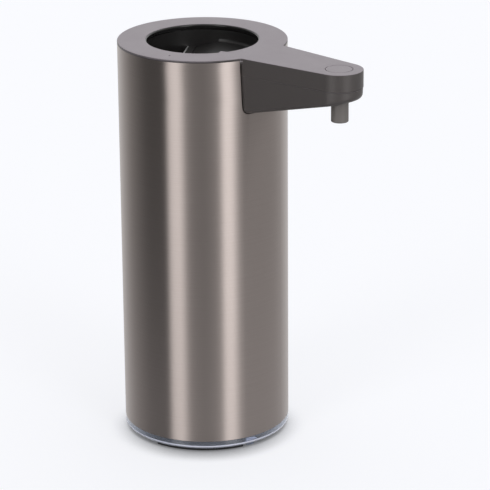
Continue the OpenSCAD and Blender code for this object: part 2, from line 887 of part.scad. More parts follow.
module outlet_tube() color("#cfd4d6") {
  ring_at(tube_x, lid_z1 + tube_end_gap, tube_z - tube_bend);
  translate([tube_x + tube_bend, 0, tube_z - tube_bend]) rotate([90, 0, 0]) rotate([0, 0, 90])
    rotate_extrude(angle = 90) translate([tube_bend, 0]) tube_profile();
  translate([tube_x + tube_bend, 0, tube_z]) rotate([0, 90, 0])
    linear_extrude(nozzle_x - elbow_l - tube_end_gap - tube_x - tube_bend) tube_profile();
}

module ring_at(x, z0, z1) translate([x, 0, z0]) linear_extrude(z1 - z0) tube_profile();

// A plate along the arm's sloping underside, from depth z0 to z1 inwards
module window_block(half_l, half_w, z0, z1) translate([sensor_x, 0, arm_low(sensor_x)])
  rotate([0, -arm_slope_a, 0]) box([-half_l, -half_w, z0], [half_l, half_w, z1]);

module sensor_window() color("#1a1416") {
  skin = arm_wall * cos(arm_slope_a);
  window_block(window_l / 2, window_w / 2, 0, skin + window_seat_gap);
  window_block(window_l / 2 + window_rim, window_w / 2 + window_rim, skin + window_seat_gap,
    skin + window_rim_t);
}

module sensor_board() color("#1f5c3a") box(
  [sensor_x - sensor_board_l / 2, -sensor_board_half, sensor_board_z],
  [sensor_x + sensor_board_l / 2, sensor_board_half, sensor_board_z + sensor_board_t]);

module eye(y) translate([sensor_x, y, 0]) {
  rod(eye_r, sensor_board_z - eye_l + eye_r / 2, sensor_board_z);
  rod(eye_r / 2, sensor_board_z - eye_l, sensor_board_z);
}

module ir_emitter() color("#d9e4ea") eye(eye_y);

module ir_receiver() color("#22242a") eye(-eye_y);

module sensor_cable() {
  p = concat(
    [[plug_x, main_y - plug_d / 2, main_z1 - plug_inset + lead_end_gap],
      [plug_x, main_y - plug_d / 2, main_z1 + cable_plug_rise],
      [plug_x, main_y, lead_under_z] + cable_plug_bend],
    [for (b = cable_bends) [b[0], b[1], lead_under_z]],
    [[lead_x, lead_y, lead_under_z] + cable_turn,
      [lead_x, lead_y, deck_z1],
      [lead_x, lead_y, tank_floor_z1]],
    [for (z = cable_channel_route) [lead_x, lead_y, arm_low_z + z]],
    [for (b = cable_arm_route) [lead_x, lead_y, lead_arm_z] + b],
    [[cable_end[0], cable_end[1], lead_arm_z],
      [sensor_x - sensor_board_l / 2 - lead_end_gap, cable_end[1], lead_arm_z]]
  );
  color("#303034") sweep(smooth(p, lead_steps), lead_r, lead_sides, [1, 0, 0]);
}

// Block of the tank that stays free for the soap tube and the lead
module channel(grow, z0, z1) box([channel_x - grow, -channel_half - grow, z0],
  [body_r, channel_half + grow, z1]);

module tank() color("#17171a") difference() {
  union() {
    rotate_extrude() polygon([
      [0, tank_floor_z0], [liner_ro, tank_floor_z0], [liner_ro, shoulder_z0],
      [mouth_neck_ro, shoulder_z1], [mouth_neck_ro, tank_rim_z], [0, tank_rim_z]
    ]);
    ring(liner_ro, liner_ri, tank_z0, tank_floor_z0 + over);
    translate([inlet_x, 0, 0]) rod(spigot_ro, tank_spigot_z0, tank_floor_z0 + over);
  }
  difference() {
    rotate_extrude() polygon([
      [0, tank_floor_z1], [liner_ri, tank_floor_z1], [liner_ri, shoulder_z0 - shoulder_in],
      [throat_r, shoulder_z1 + shoulder_in], [throat_r, step_z], [mouth_r, step_z],
      [mouth_r, tank_rim_z + over], [0, tank_rim_z + over]
    ]);
    channel(liner_t, tank_z0, tank_rim_z + 2 * over);
  }
  channel(0, tank_z0 - over, tank_rim_z + 2 * over);
  translate([inlet_x, 0, 0]) {
    rod(spigot_ri, tank_spigot_z0 - over, tank_floor_z1);
    rod(strainer_r + run_gap, tank_floor_z1 - strainer_t + strainer_rise, tank_floor_z1 + over);
  }
}

// Half plane region of the filler guard up to its pouring edge, extruded across
module guard_cut(points) rotate([0, 0, guard_az]) rotate([90, 0, 0])
  linear_extrude(2 * mouth_r, center = true) polygon(points);

module filler_guard() color("#1c1c1f") {
  high = total_h - guard_depth;
  low = high - guard_fall;
  intersection() {
    rod(guard_r, step_z, total_h);
    guard_cut([
      [-mouth_r, high], [guard_bend_w, high], [guard_low_w, low],
      [guard_low_w, low + guard_lip_h], [guard_edge_w, low + guard_lip_h],
      [guard_edge_w, low - guard_t], [guard_low_w, low - guard_t],
      [guard_bend_w, high - guard_t], [-mouth_r, high - guard_t]
    ]);
  }
  intersection() {
    ring(guard_r, guard_r - guard_skirt_t, step_z, total_h);
    guard_cut([
      [-mouth_r, step_z], [-mouth_r, high - guard_t / 2], [guard_bend_w, high - guard_t / 2],
      [guard_low_w, low - guard_t / 2], [guard_edge_w, low - guard_t / 2],
      [guard_edge_w, step_z]
    ]);
  }
  intersection() {
    rotate_extrude() difference() {
      translate([guard_r - guard_fillet, high - guard_t / 2])
        square([guard_fillet, guard_fillet + guard_t / 2]);
      translate([guard_r - guard_fillet, high + guard_fillet]) circle(guard_fillet);
    }
    guard_cut([
      [-mouth_r, high - guard_t / 2], [-mouth_r, high + guard_fillet],
      [guard_bend_w, high + guard_fillet], [guard_bend_w, high - guard_t / 2]
    ]);
  }
}

module outlet_strainer() color("#d0d0d0") translate([inlet_x, 0, 0]) difference() {
  rod(strainer_r, tank_floor_z1 - strainer_t + strainer_rise, tank_floor_z1 + strainer_rise);
  for (ring_index = [0 : 2]) for (k = [0 : max(0, 6 * ring_index - 1)])
    at_az(60 / max(1, ring_index) * k, ring_index * strainer_pitch)
      rod(strainer_hole_r, tank_floor_z1 - strainer_t, tank_floor_z1 + strainer_rise + over);
}

module tank_seal() color("#b04a3a") translate([inlet_x, 0, tank_spigot_z0 + 2 * tank_seal_t])
  rotate_extrude() translate([spigot_ro + seal_slack / 2 + tank_seal_t / 2, 0])
    circle(tank_seal_t / 2);

// Rounded square about the battery cluster
module sleeve_shape(half, round) translate([cells_x, 0]) {
  square([2 * half, 2 * (half - round)], center = true);
  square([2 * (half - round), 2 * half], center = true);
  for (x = [-1, 1]) for (y = [-1, 1])
    translate([x * (half - round), y * (half - round)]) circle(round);
}

module board_rail(x, out) difference() {
  box([x - rail_w / 2, main_y + main_t / 2 - rail_l / 2, floor_z1],
    [x + rail_w / 2, main_y + main_t / 2 + rail_l / 2, main_z0 + rail_h]);
  box([out > 0 ? x - over - rail_w : x - rail_w / 2 + slot_depth, main_y - run_gap, main_z0],
    [out > 0 ? x + rail_w / 2 - slot_depth : x + over + rail_w, main_y + main_t + run_gap,
      main_z0 + rail_h + over]);
}

module chassis() color("#2b2c30") difference() {
  union() {
    ring(liner_ro - spigot_t - fit_gap, well_r, base_h, floor_z1 + roof_t / 2);
    translate([0, 0, floor_z1]) linear_extrude(roof_t) difference() {
      circle(liner_ro - spigot_t - fit_gap);
      sleeve_shape(sleeve_in, sleeve_round);
    }
    ring(liner_ro - spigot_t - fit_gap, liner_ri - spigot_t, base_h, spigot_z1 + floor_t);
    ring(liner_ro, liner_ri - spigot_t, spigot_z1, spigot_z1 + floor_t);
    ring(liner_ro, liner_ri, spigot_z1, deck_z1);
    rod(liner_ro, deck_z0, deck_z1);
    translate([0, 0, sleeve_top_z]) linear_extrude(deck_z1 - sleeve_top_z)
      sleeve_shape(sleeve_out, sleeve_round + sleeve_wall);
    difference() {
      union() {
        translate([0, 0, floor_z1]) linear_extrude(deck_z0 - floor_z1 + deck_t / 2)
          difference() {
            sleeve_shape(sleeve_out, sleeve_round + sleeve_wall);
            sleeve_shape(sleeve_in, sleeve_round);
          }
        translate([motor_x, motor_y, 0]) difference() {
          rod(cradle_r + cradle_wall, floor_z1, motor_z1);
          rod(cradle_r - cradle_lip, roof_z1, motor_z1 + over);
        }
      }
      translate([motor_x, motor_y, 0]) rod(cradle_r, motor_z0, motor_z1 + over);
    }
    for (az = screw_azs) at_az(az, base_screw_ring)
      rod(base_boss_r, floor_z1, floor_z1 + base_boss_h);
    board_rail(main_x0, -1);
    board_rail(main_x1, 1);
  }
  for (az = screw_azs) at_az(az, base_screw_ring)
    rod(base_screw_r, base_h - over, floor_z1 + base_boss_h - floor_t / 2);
  translate([inlet_x, 0, 0]) rod(cup_ro + fit_gap, deck_z0 - over, deck_z1 + over);
  translate([tube_x, 0, 0]) rod(tube_r + fit_gap, deck_z0 - over, deck_z1 + over);
  translate([lead_x, lead_y, 0]) rod(lead_hole_r, deck_z0 - over, deck_z1 + over);
}

module main_board() color("#1f5c3a") {
  inner = main_x0 - rail_w / 2 + slot_depth + run_gap;
  outer = main_x1 + rail_w / 2 - slot_depth - run_gap;
  box([inner, main_y, main_z0], [outer, main_y + main_t, main_z1]);
  for (k = [0 : 2]) {
    chip_x = inner + chip_inset + k * chip_w * chip_step_share;
    box([chip_x, main_y - chip_t, main_z0 + chip_w],
      [chip_x + chip_w, main_y + main_t / 2, main_z0 + 2 * chip_w]);
  }
  for (k = [0 : 1]) translate([main_x0 + 2 * cap_r + k * 3 * cap_r, main_y + main_t / 2,
    main_z1 - 3 * cap_r]) rotate([90, 0, 0]) rod(cap_r, 0, cap_h);
  box([plug_x - plug_l / 2, main_y - plug_d, main_z1 - plug_inset - plug_h],
    [plug_x + plug_l / 2, main_y + main_t / 2, main_z1 - plug_inset]);
}

// Cell k of four: opposite ways up in turn round the cluster
module cell(k) {
  sx = k % 2 == 0 ? -1 : 1;
  sy = k < 2 ? -1 : 1;
  plus_up = sx * sy > 0;
  low = plus_up ? cell_z0 + cell_spring_h : cell_z0;
  translate([cells_x + sx * cell_pitch / 2, sy * cell_pitch / 2, low]) {
    if (plus_up) {
      rod(cell_r, 0, cell_l - cell_nub_h);
      rod(cell_nub_r, 0, cell_l);
    } else {
      rod(cell_r, cell_nub_h, cell_l);
      rod(cell_nub_r, 0, cell_l);
    }
  }
}

module battery_1() color("#3a3a3f") cell(0);
module battery_2() color("#3a3a3f") cell(1);
module battery_3() color("#3a3a3f") cell(2);
module battery_4() color("#3a3a3f") cell(3);

module battery_springs() {
  per_turn = 8;
  p = coil(spring_r0, spring_r1, cell_spring_h - 2 * spring_wire_r, spring_turns, per_turn);
  echo(battery_spring_gap = coil_gap(p, per_turn, 2 * spring_wire_r));
  color("silver") for (k = [0 : 3]) {
    sx = k % 2 == 0 ? -1 : 1;
    sy = k < 2 ? -1 : 1;
    plus_up = sx * sy > 0;
    translate([cells_x + sx * cell_pitch / 2, sy * cell_pitch / 2,
      plus_up ? cell_z0 + spring_wire_r : cell_z1 - spring_wire_r])
      rotate([plus_up ? 0 : 180, 0, 0]) sweep(p, spring_wire_r, 6, [1, 0, 0]);
  }
}

// One contact strip at height z that joins the cells on one side
module contact_strip(sy, z) box(
  [cells_x - cell_pitch / 2 - contact_w / 2, sy * cell_pitch / 2 - contact_w / 2, z],
  [cells_x + cell_pitch / 2 + contact_w / 2, sy * cell_pitch / 2 + contact_w / 2, z + contact_t]);

module upper_contacts() color("#c9c9c4") {
  contact_strip(1, cell_z1);
  for (sx = [-1, 1]) translate([cells_x + sx * cell_pitch / 2, -cell_pitch / 2, cell_z1])
    box([-contact_w / 2, -contact_w / 2, 0], [contact_w / 2, contact_w / 2, contact_t]);
}

module lower_contacts() color("#c9c9c4") for (sy = [-1, 1]) contact_strip(sy, contact_z0);

module contact_carrier() color("#222326") translate([0, 0, carrier_z0])
  linear_extrude(carrier_t) sleeve_shape(sleeve_in - carrier_slack, sleeve_round - carrier_slack);

module at_motor() translate([motor_x, motor_y, 0]) children();

module at_pump() translate([motor_x, pump_y, 0]) children();

module at_idler() translate([motor_x, idler_y, 0]) children();

module motor_case() color("#b8babd") at_motor() difference() {
  union() {
    rod(motor_r, motor_z0, motor_z1);
    rod(boss_r, motor_z0 - boss_h, motor_z1 + boss_h);
  }
  rod(motor_r - can_t, motor_z0 + can_t, motor_z1 - can_t);
  rod(shaft_r + run_gap, motor_z0 - boss_h + shaft_end_gap, motor_z1 + boss_h + over);
}

module motor_armature() color("#b3643a") at_motor() {
  low = (motor_z0 + motor_z1 - armature_h) / 2 + commutator_h / 2;
  difference() {
    union() {
      rod(armature_r, low, low + armature_h);
      rod(commutator_r, low - commutator_h, low + over);
    }
    rod(shaft_r, low - 2 * commutator_h, low + armature_h + over);
    for (a = [0, 120, 240]) rotate([0, 0, a])
      box([armature_r / 2, -slot_w / 2, low - over],
        [armature_r + over, slot_w / 2, low + armature_h + over]);
  }
}

module motor_shaft() color("#d5d7d9") at_motor()
  rod(shaft_r, motor_z0 - boss_h + motor_end_gap, gear_z0 + drive_gear_h + shaft_r / 2);

module motor_pinion() color("#c8a24a") at_motor() difference() {
  translate([0, 0, gear_z0]) linear_extrude(drive_gear_h)
    gear_shape(pinion_teeth, gear_m, gear_pa, gear_slack, 90, gear_ded_share);
  rod(shaft_r, gear_z0 - over, gear_z0 + drive_gear_h + over);
}

module gearbox_case() color("#3a3b40") difference() {
  union() {
    at_pump() rod(box_r, box_z0, box_z1);
    at_motor() rod(box_motor_r, box_z0, box_z1);
  }
  at_pump() {
    rod(gear_ro + gear_room, box_floor_z, box_z1 + over);
    rod(pump_shaft_r + run_gap, box_floor_z - bearing_depth, box_floor_z + over);
  }
  at_motor() {
    rod(pinion_ro + gear_room, box_floor_z, box_z1 + over);
    rod(boss_r + run_gap, box_z0 - over, box_floor_z + over);
  }
  for (s = [-1, 1]) translate([motor_x + s * pump_screw_dx, mesh_y - pump_screw_dy, 0])
    rod(pump_screw_r, box_z1 - pump_screw_long - over, box_z1 + over);
}

module drive_gear() color("#e3ddd0") at_pump() difference() {
  translate([0, 0, gear_z0]) linear_extrude(drive_gear_h)
    gear_shape(drive_teeth, gear_m, gear_pa, gear_slack, 180 / drive_teeth - 90, gear_ded_share);
  rod(pump_shaft_r, gear_z0 - over, gear_z0 + drive_gear_h + over);
  for (a = [0 : 60 : 300]) at_az(a, gear_ro / 2)
    rod(gear_ro / 6, gear_z0 - over, gear_z0 + drive_gear_h + over);
}

module pump_shaft() color("#d5d7d9") at_pump()
  rod(pump_shaft_r, box_floor_z - bearing_depth + shaft_end_gap,
    lid_z0 + bearing_depth - shaft_end_gap);

module shaft_seal() color("#5a2a26") at_pump()
  ring(shaft_seal_r - seal_slack, pump_shaft_r + run_gap, pump_z0, pump_z0 + shaft_seal_h);

// Outline of the pump with its nose towards the soap tube
module pump_shape() {
  translate([motor_x, mesh_y]) {
    square([2 * pump_half_l, 2 * (pump_half_w - pump_corner)], center = true);
    square([2 * (pump_half_l - pump_corner), 2 * pump_half_w], center = true);
    for (x = [-1, 1]) for (y = [-1, 1])
      translate([x * (pump_half_l - pump_corner), y * (pump_half_w - pump_corner)])
        circle(pump_corner);
  }
  translate([motor_x, -nose_r]) square([tube_x - motor_x, 2 * nose_r]);
  translate([tube_x, 0]) circle(nose_r);
}

// Space for the two pump gears and the ports beside their mesh
module chamber_shape() {
  translate([motor_x, pump_y]) circle(chamber_r);
  translate([motor_x, idler_y]) circle(chamber_r);
  for (s = [-1, 1]) translate([motor_x + s * port_dx, mesh_y]) circle(port_r);
}

module pump_screw_places() for (x = [-1, 1]) for (y = [-1, 1])
  translate([motor_x + x * pump_screw_dx, mesh_y + y * pump_screw_dy, 0]) children();

module pump_body() color("#3f4248") difference() {
  union() {
    translate([0, 0, pump_z0]) linear_extrude(chamber_z1 - pump_z0) pump_shape();
    at_pump() rod(gear_ro + gear_room - fit_gap, pump_z0 - box_spigot_h, pump_z0 + over);
  }
  translate([0, 0, chamber_z0]) linear_extrude(chamber_z1 - chamber_z0 + over) chamber_shape();
  at_pump() {
    rod(pump_shaft_r + run_gap, pump_z0 - 2 * over, chamber_z0 + over);
    rod(shaft_seal_r, pump_z0 - 2 * over, pump_z0 + shaft_seal_h);
  }
  at_idler() rod(pump_shaft_r, chamber_z0 - bearing_depth, chamber_z0 + over);
  pump_screw_places() rod(pump_screw_r, pump_z0 - over, chamber_z1 + over);
}

module pump_drive_gear() color("#d9d2c4") at_pump() difference() {
  translate([0, 0, chamber_z0 + chamber_gap / 2]) linear_extrude(pump_gear_h)
    gear_shape(pump_teeth, pump_m, pump_pa, pump_slack, -90, pump_ded_share);
  rod(pump_shaft_r, chamber_z0 - over, chamber_z1 + over);
}

module pump_idler_gear() color("#d9d2c4") at_idler() difference() {
  translate([0, 0, chamber_z0 + chamber_gap / 2]) linear_extrude(pump_gear_h)
    gear_shape(pump_teeth, pump_m, pump_pa, pump_slack, 90 + 180 / pump_teeth, pump_ded_share);
  rod(pump_shaft_r + run_gap, chamber_z0 - over, chamber_z1 + over);
}

module idler_axle() color("#d5d7d9") at_idler()
  rod(pump_shaft_r, chamber_z0 - bearing_depth, lid_z0 + bearing_depth - shaft_end_gap);

module pump_gasket() color("#22242a") difference() {
  translate([0, 0, chamber_z1]) linear_extrude(gasket_t) difference() {
    pump_shape();
    chamber_shape();
  }
  pump_screw_places() rod(pump_screw_r + seal_slack, chamber_z1 - over, lid_z0 + over);
}

module pump_cover() color("#4a4d54") difference() {
  union() {
    translate([0, 0, lid_z0]) linear_extrude(lid_t) pump_shape();
    translate([inlet_x, 0, 0]) ring(cup_ro, cup_ri, lid_z1 - over, lid_z1 + cup_h);
    translate([tube_x, 0, 0]) rod(barb_r, lid_z1 - over, lid_z1 + outlet_barb_h);
  }
  translate([inlet_x, 0, 0]) rod(port_r, lid_z0 - over, lid_z1 + over);
  translate([tube_x, 0, 0]) rod(barb_bore_r, lid_z0 + over / 2, lid_z1 + outlet_barb_h + over);
  box([motor_x + port_dx - port_r, -passage_half, lid_z0 - over],
    [tube_x + barb_bore_r, passage_half, lid_z0 + passage_h]);
  at_pump() rod(pump_shaft_r + run_gap, lid_z0 - over, lid_z0 + bearing_depth);
  at_idler() rod(pump_shaft_r, lid_z0 - over, lid_z0 + bearing_depth);
  pump_screw_places() {
    rod(pump_screw_r, lid_z0 - over, lid_z1 + over);
    rod(pump_head_r + run_gap, lid_z1 - pump_head_h, lid_z1 + over);
  }
}

module pump_screws() color("#9a9a9a") for (x = [-1, 1]) for (y = [-1, 1])
  translate([motor_x + x * pump_screw_dx, mesh_y + y * pump_screw_dy, 0]) difference() {
    union() {
      rod(pump_head_r, lid_z1 - pump_head_h, lid_z1);
      rod(pump_screw_r, y < 0 ? box_z1 - pump_screw_long : lid_z0 - gasket_t - pump_screw_short,
        lid_z1 - pump_head_h / 2);
    }
    translate([0, 0, lid_z1]) mirror([0, 0, 1]) cross_slot(0, pump_head_r);
  }

module base_ring() color("#dfe8f2", 0.5) difference() {
  union() {
    rotate_extrude() {
      translate([plate_r + fit_gap, pad_t])
        square([ring_ro - ring_round - plate_r - fit_gap, base_h - pad_t]);
      translate([plate_r + fit_gap, pad_t + ring_round])
        square([ring_ro - plate_r - fit_gap, base_h - pad_t - ring_round]);
      translate([ring_ro - ring_round, pad_t + ring_round]) circle(ring_round);
      translate([ring_ri, plate_z1]) square([plate_r + over - ring_ri, base_h - plate_z1]);
      translate([liner_ro - spigot_t, base_h - over]) square([spigot_t, spigot_h + over]);
    }
    rotate([0, 0, lug_az]) intersection() {
      box([lug_ri, -lug_w / 2, lug_lift], [pad_ro + over, lug_w / 2, plate_z1 + over / 2]);
      rod(pad_ro, 0, base_h);
    }
  }
  for (az = screw_azs) at_az(az, base_screw_ring)
    rod(base_screw_r + key_gap, 0, base_h + over);
}

module base_plate() color("#151517") difference() {
  rod(plate_r, pad_t, plate_z1);
  rod(door_r + door_gap, 0, plate_z1 + over);
  for (az = bayonet_azs) sector(az + bayonet_turn, bayonet_slot_a, door_r,
    bayonet_ro + door_gap, 0, plate_z1 + over);
  rotate([0, 0, lug_az]) box([lug_ri - key_gap, -lug_w / 2 - key_gap, 0],
    [plate_r + over, lug_w / 2 + key_gap, plate_z1 + over]);
  for (az = screw_azs) at_az(az, base_screw_ring) {
    rod(base_screw_r + key_gap, 0, plate_z1 + over);
    rod(base_head_r + key_gap / 2, 0, pad_t + base_head_h);
  }
}

module base_screws() color("#8c8c8c") for (az = screw_azs) at_az(az, base_screw_ring)
  difference() {
    union() {
      rod(base_head_r, pad_t, pad_t + base_head_h);
      rod(base_screw_r, pad_t, floor_z1 + base_boss_h - floor_t);
    }
    cross_slot(pad_t, base_head_r);
  }

module foot_pad() color("#101012") difference() {
  ring(pad_ro, pad_ri, 0, pad_t);
  for (az = pad_gap_azs)
    sector(az, pad_gap_arc, pad_ri + pad_web_w, pad_ro + over, -over, pad_t + over);
}

module battery_cover() color("#26272a") difference() {
  union() {
    rod(door_r, door_lift, plate_z1);
    rod(neck_r, plate_z1 - over, floor_z1 - neck_top_gap);
    for (az = bayonet_azs) sector(az, bayonet_a, neck_ri, bayonet_ro,
      plate_z1 + door_gap, plate_z1 + door_gap + bayonet_t);
  }
  rod(neck_ri, plate_z1, floor_z1 + over);
  ring(neck_r + over / 2, door_groove_r, door_seal_z - door_seal_r, door_seal_z + door_seal_r);
  box([-coin_l / 2, -coin_w / 2, door_lift - over], [coin_l / 2, coin_w / 2,
    door_lift + coin_depth]);
}

module battery_cover_seal() color("#7a2f28") translate([0, 0, door_seal_z])
  rotate_extrude() translate([door_groove_r + door_seal_r + seal_slack, 0])
    circle(door_seal_r - seal_slack / 2);

outer_shell();
top_cover();
spout_lower_cover();
spout_screws();
power_button();
button_spring();
button_board();
button_switch();
status_led();
led_lead();
nozzle();
nozzle_valve();
outlet_tube();
sensor_window();
sensor_board();
ir_emitter();
ir_receiver();
sensor_cable();
tank();
filler_guard();
outlet_strainer();
tank_seal();
chassis();
main_board();
battery_1();
battery_2();
battery_3();
battery_4();
battery_springs();
upper_contacts();
lower_contacts();
contact_carrier();
motor_case();
motor_armature();
motor_shaft();
motor_pinion();
gearbox_case();
drive_gear();
pump_shaft();
shaft_seal();
pump_body();
pump_drive_gear();
pump_idler_gear();
idler_axle();
pump_gasket();
pump_cover();
pump_screws();
base_ring();
base_plate();
base_screws();
foot_pad();
battery_cover();
battery_cover_seal();
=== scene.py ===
import math
import json

import bmesh
import bpy
from mathutils import Matrix, Vector


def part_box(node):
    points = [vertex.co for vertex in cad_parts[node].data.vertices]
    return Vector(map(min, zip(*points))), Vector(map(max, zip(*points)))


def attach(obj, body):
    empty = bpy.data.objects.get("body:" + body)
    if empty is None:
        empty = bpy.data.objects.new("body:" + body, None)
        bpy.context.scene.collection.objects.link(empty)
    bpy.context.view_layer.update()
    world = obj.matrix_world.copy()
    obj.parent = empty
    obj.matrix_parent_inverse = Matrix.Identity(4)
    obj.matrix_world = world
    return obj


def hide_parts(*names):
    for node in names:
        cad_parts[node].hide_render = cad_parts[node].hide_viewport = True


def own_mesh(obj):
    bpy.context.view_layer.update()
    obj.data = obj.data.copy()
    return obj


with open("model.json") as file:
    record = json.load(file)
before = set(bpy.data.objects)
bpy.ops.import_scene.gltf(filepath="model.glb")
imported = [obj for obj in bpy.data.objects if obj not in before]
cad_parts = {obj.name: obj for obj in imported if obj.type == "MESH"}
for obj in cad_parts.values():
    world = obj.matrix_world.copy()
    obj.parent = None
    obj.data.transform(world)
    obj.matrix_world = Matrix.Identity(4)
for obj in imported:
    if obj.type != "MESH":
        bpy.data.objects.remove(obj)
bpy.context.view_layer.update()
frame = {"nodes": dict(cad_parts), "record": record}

MM = 0.001
TURN = 2 * math.pi
QUARTER = math.pi / 2


def millimetres(cad_node):
    """A CAD node's lowest and highest corners in millimetres."""
    low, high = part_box(cad_node)
    return [v / MM for v in low], [v / MM for v in high]


# Driving sizes in millimetres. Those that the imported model's boxes give are read from it.
shell_low, shell_high = millimetres("outer_shell")
nozzle_low, nozzle_high = millimetres("nozzle")
button_low, button_high = millimetres("power_button")
cover_high = millimetres("top_cover")[1]
lower_low = millimetres("spout_lower_cover")[0]
ring_high = millimetres("base_ring")[1]
foot_high = millimetres("foot_pad")[1]
plate_high = millimetres("base_plate")[1]

# Shell
BODY_R = shell_high[1]
BASE_H = shell_low[2]
BAND_Z = shell_high[2]
TOP = cover_high[2]
SHELL_T = 0.8
SHELL_EDGE = 0.15
SHELL_EDGE_ROW = 0.25
SHELL_SIDES = 232
SHELL_ROWS = (BASE_H + 30, 80.0, 120.0)

# Arm
TIP_R = 10.5
TIP_X = cover_high[0] - TIP_R
TIP_H = 15.0
ROOT_HALF = 14.0
ARM_X0 = 34.5
ARM_X1 = BODY_R - 1.0
ARM_DX = TIP_X - ARM_X1
ARM_LOW = lower_low[2]
ARM_WALL = 1.6
ARM_ROUND = 2.3
ARM_INNER_ROUND = 3.0
SLOPE = (TOP - ARM_LOW - TIP_H) / ARM_DX
TAPER = math.atan2(ROOT_HALF, ARM_DX) - math.asin(TIP_R / math.hypot(ROOT_HALF, ARM_DX))
EDGE = 0.3
ROOT_FILLET = 1.2
FILLET_Y = ROOT_HALF + ROOT_FILLET
FILLET_X = math.sqrt((BODY_R + ROOT_FILLET) ** 2 - FILLET_Y ** 2)

# Notch in the shell, and the lean of its sides and of the arm's root
NOTCH_GAP = 0.48
NOTCH_ROUND = 3.3
NOTCH_ROWS = 4
ROOT_LEAN = 0.9
LEAN_X = (ARM_X0, TIP_X - 12)

# Webs in the root's corners: how deep, how far into the plate, and their points inside the cover
WEB_DROP = 2.7
WEB_BITE = 0.03
WEB_IN_ARM = (-0.4, 0.2)
WEB_IN_BAND = (-0.05, 0.35)

# Seam between the arm's halves, and how the lower half steps in round the tip
SEAM_Z = TOP - 7.8
SEAM_GAP = 0.015
SEAM_EDGE = 0.02
SEAM_EDGE_GROWTH = 0.10
SEAM_EDGE_X = (TIP_X - 6, TIP_X + 4)
SEAM_TIP_GAP = 0.16
SEAM_TIP_X = (TIP_X - 6, TIP_X + TIP_R)
SEAM_INNER_EDGE = 0.12
ARM_DRAFT = 0.42
TIP_STEP = 0.18
TIP_STEP_X = (TIP_X - 3, TIP_X + 6)

# Mouth, with the cover's lip down to the neck's band as (radius, z), and the neck's bead inside it
MOUTH_R = 25.45
MOUTH_SIDES = 180
MOUTH_CHAMFER = 0.08
MOUTH_SOFT = 0.3
LIP_EDGE = 0.2
LIP_T = 0.6
LIP_REACH = 1.0
NECK_REACH = 1.9
MOUTH_PROFILE = [
    (MOUTH_R + MOUTH_CHAMFER, TOP),
    (MOUTH_R + MOUTH_CHAMFER * MOUTH_SOFT, TOP - MOUTH_CHAMFER * MOUTH_SOFT),
    (MOUTH_R, TOP - MOUTH_CHAMFER), (MOUTH_R, TOP - LIP_EDGE), (MOUTH_R + LIP_REACH, TOP - LIP_T),
    (MOUTH_R + NECK_REACH, BAND_Z)]
NECK_R = 25.3
BEAD_R = 0.62
BEAD_Z = TOP - 0.14
BEAD_STEPS = 8
BEAD_BACK = [(MOUTH_R + 0.25, BEAD_Z - 0.2), (MOUTH_R + 0.1, BEAD_Z)]
BEAD_FOOT = [(MOUTH_R - BEAD_R, BEAD_Z - 1.5), (NECK_R - 0.02, BEAD_Z - 2.4), (NECK_R + 0.1, BEAD_Z - 2.4),
             (MOUTH_R + 0.25, BEAD_Z - 0.9)]

# Tab on the mouth's rim: its rows as (scale, depth)
TAB_AZ = math.radians(-27.5)
TAB_W = 5.0
TAB_L = 2.8
TAB_SPREAD = 0.5
TAB_ROUND = 0.25
TAB_ROWS = [(0.9, 0.02), (1.0, 0.14), (1.0, LIP_T)]

# Power button with its flange's range of depth, and the status light's pinhole
BUTTON_R = 5.84
BUTTON_GAP = 0.2
BUTTON_ROUNDS = [0, 0.16, 0, 0, 0, 0, 0, 0]
BUTTON_HOLE_EDGE = 0.12
BUTTON_FLANGE = (2.8, 2.0)
BUTTON_FLANGE_W = 1.0
BUTTON_STEM_R = 1.0
PIN_R = 0.5
PIN_HOLE_EDGE = 0.05
PIN_RING = 31.6
PIN_AZ = math.radians(-75)

# Nozzle with its elbow and barb, and the holes in the arm's lower half
NOZZLE_R = 3.8
NOZZLE_FLANGE_R = 4.4
NOZZLE_FLANGE_T = 1.0
NOZZLE_X = nozzle_high[0] - NOZZLE_FLANGE_R
NOZZLE_BORE_R = 2.0
NOZZLE_ROOF = 1.8
NOZZLE_VALVE_R = 3.0
NOZZLE_VALVE_L = 4.2
NOZZLE_HOLE_GAP = 0.2
NOZZLE_SEAT_GAP = 0.05
NOZZLE_ROUNDS = [0.36, 0, 0.1, 0.1, 0, 0.2, 0, 0, 0, 0, 0, 0.12]
ELBOW_R = 3.0
ELBOW_L = 5.0
ELBOW_OPEN = 1.0
BARB_R = 1.95
BARB_L = 5.5
BARB_NOSE_X = 4.6
BARB_NOSE = 0.25
BARB_BORE_R = 1.2
BARB_ROUNDS = [0.2, 0, 0, 0, 0.1, 0.1, 0]
BOSS_SHARE = 0.193
BOSS_X = ARM_X1 + BOSS_SHARE * ARM_DX
BOSS_Y = 8.0
SCREW_WELL_R = 2.35
WINDOW_SHARE = 0.555
WINDOW_X = ARM_X1 + WINDOW_SHARE * ARM_DX
WINDOW_HALF_L = 6.1
WINDOW_HALF_W = 5.6
WINDOW_ROUND = 0.05

# Filler guard: the bright strip along its pouring edge
GUARD_AZ = math.radians(212.5)
GUARD_R = 25.1
GUARD_EDGE_W = 10.8
GUARD_LIP_Z = TOP - 10.1
STRIP_ACROSS = (GUARD_EDGE_W - 0.72, GUARD_EDGE_W + 0.04)
STRIP_UP = (GUARD_LIP_Z - 0.4, GUARD_LIP_Z + 0.12)
STRIP_ROUNDS = [0, 0, 0.2, 0.12]

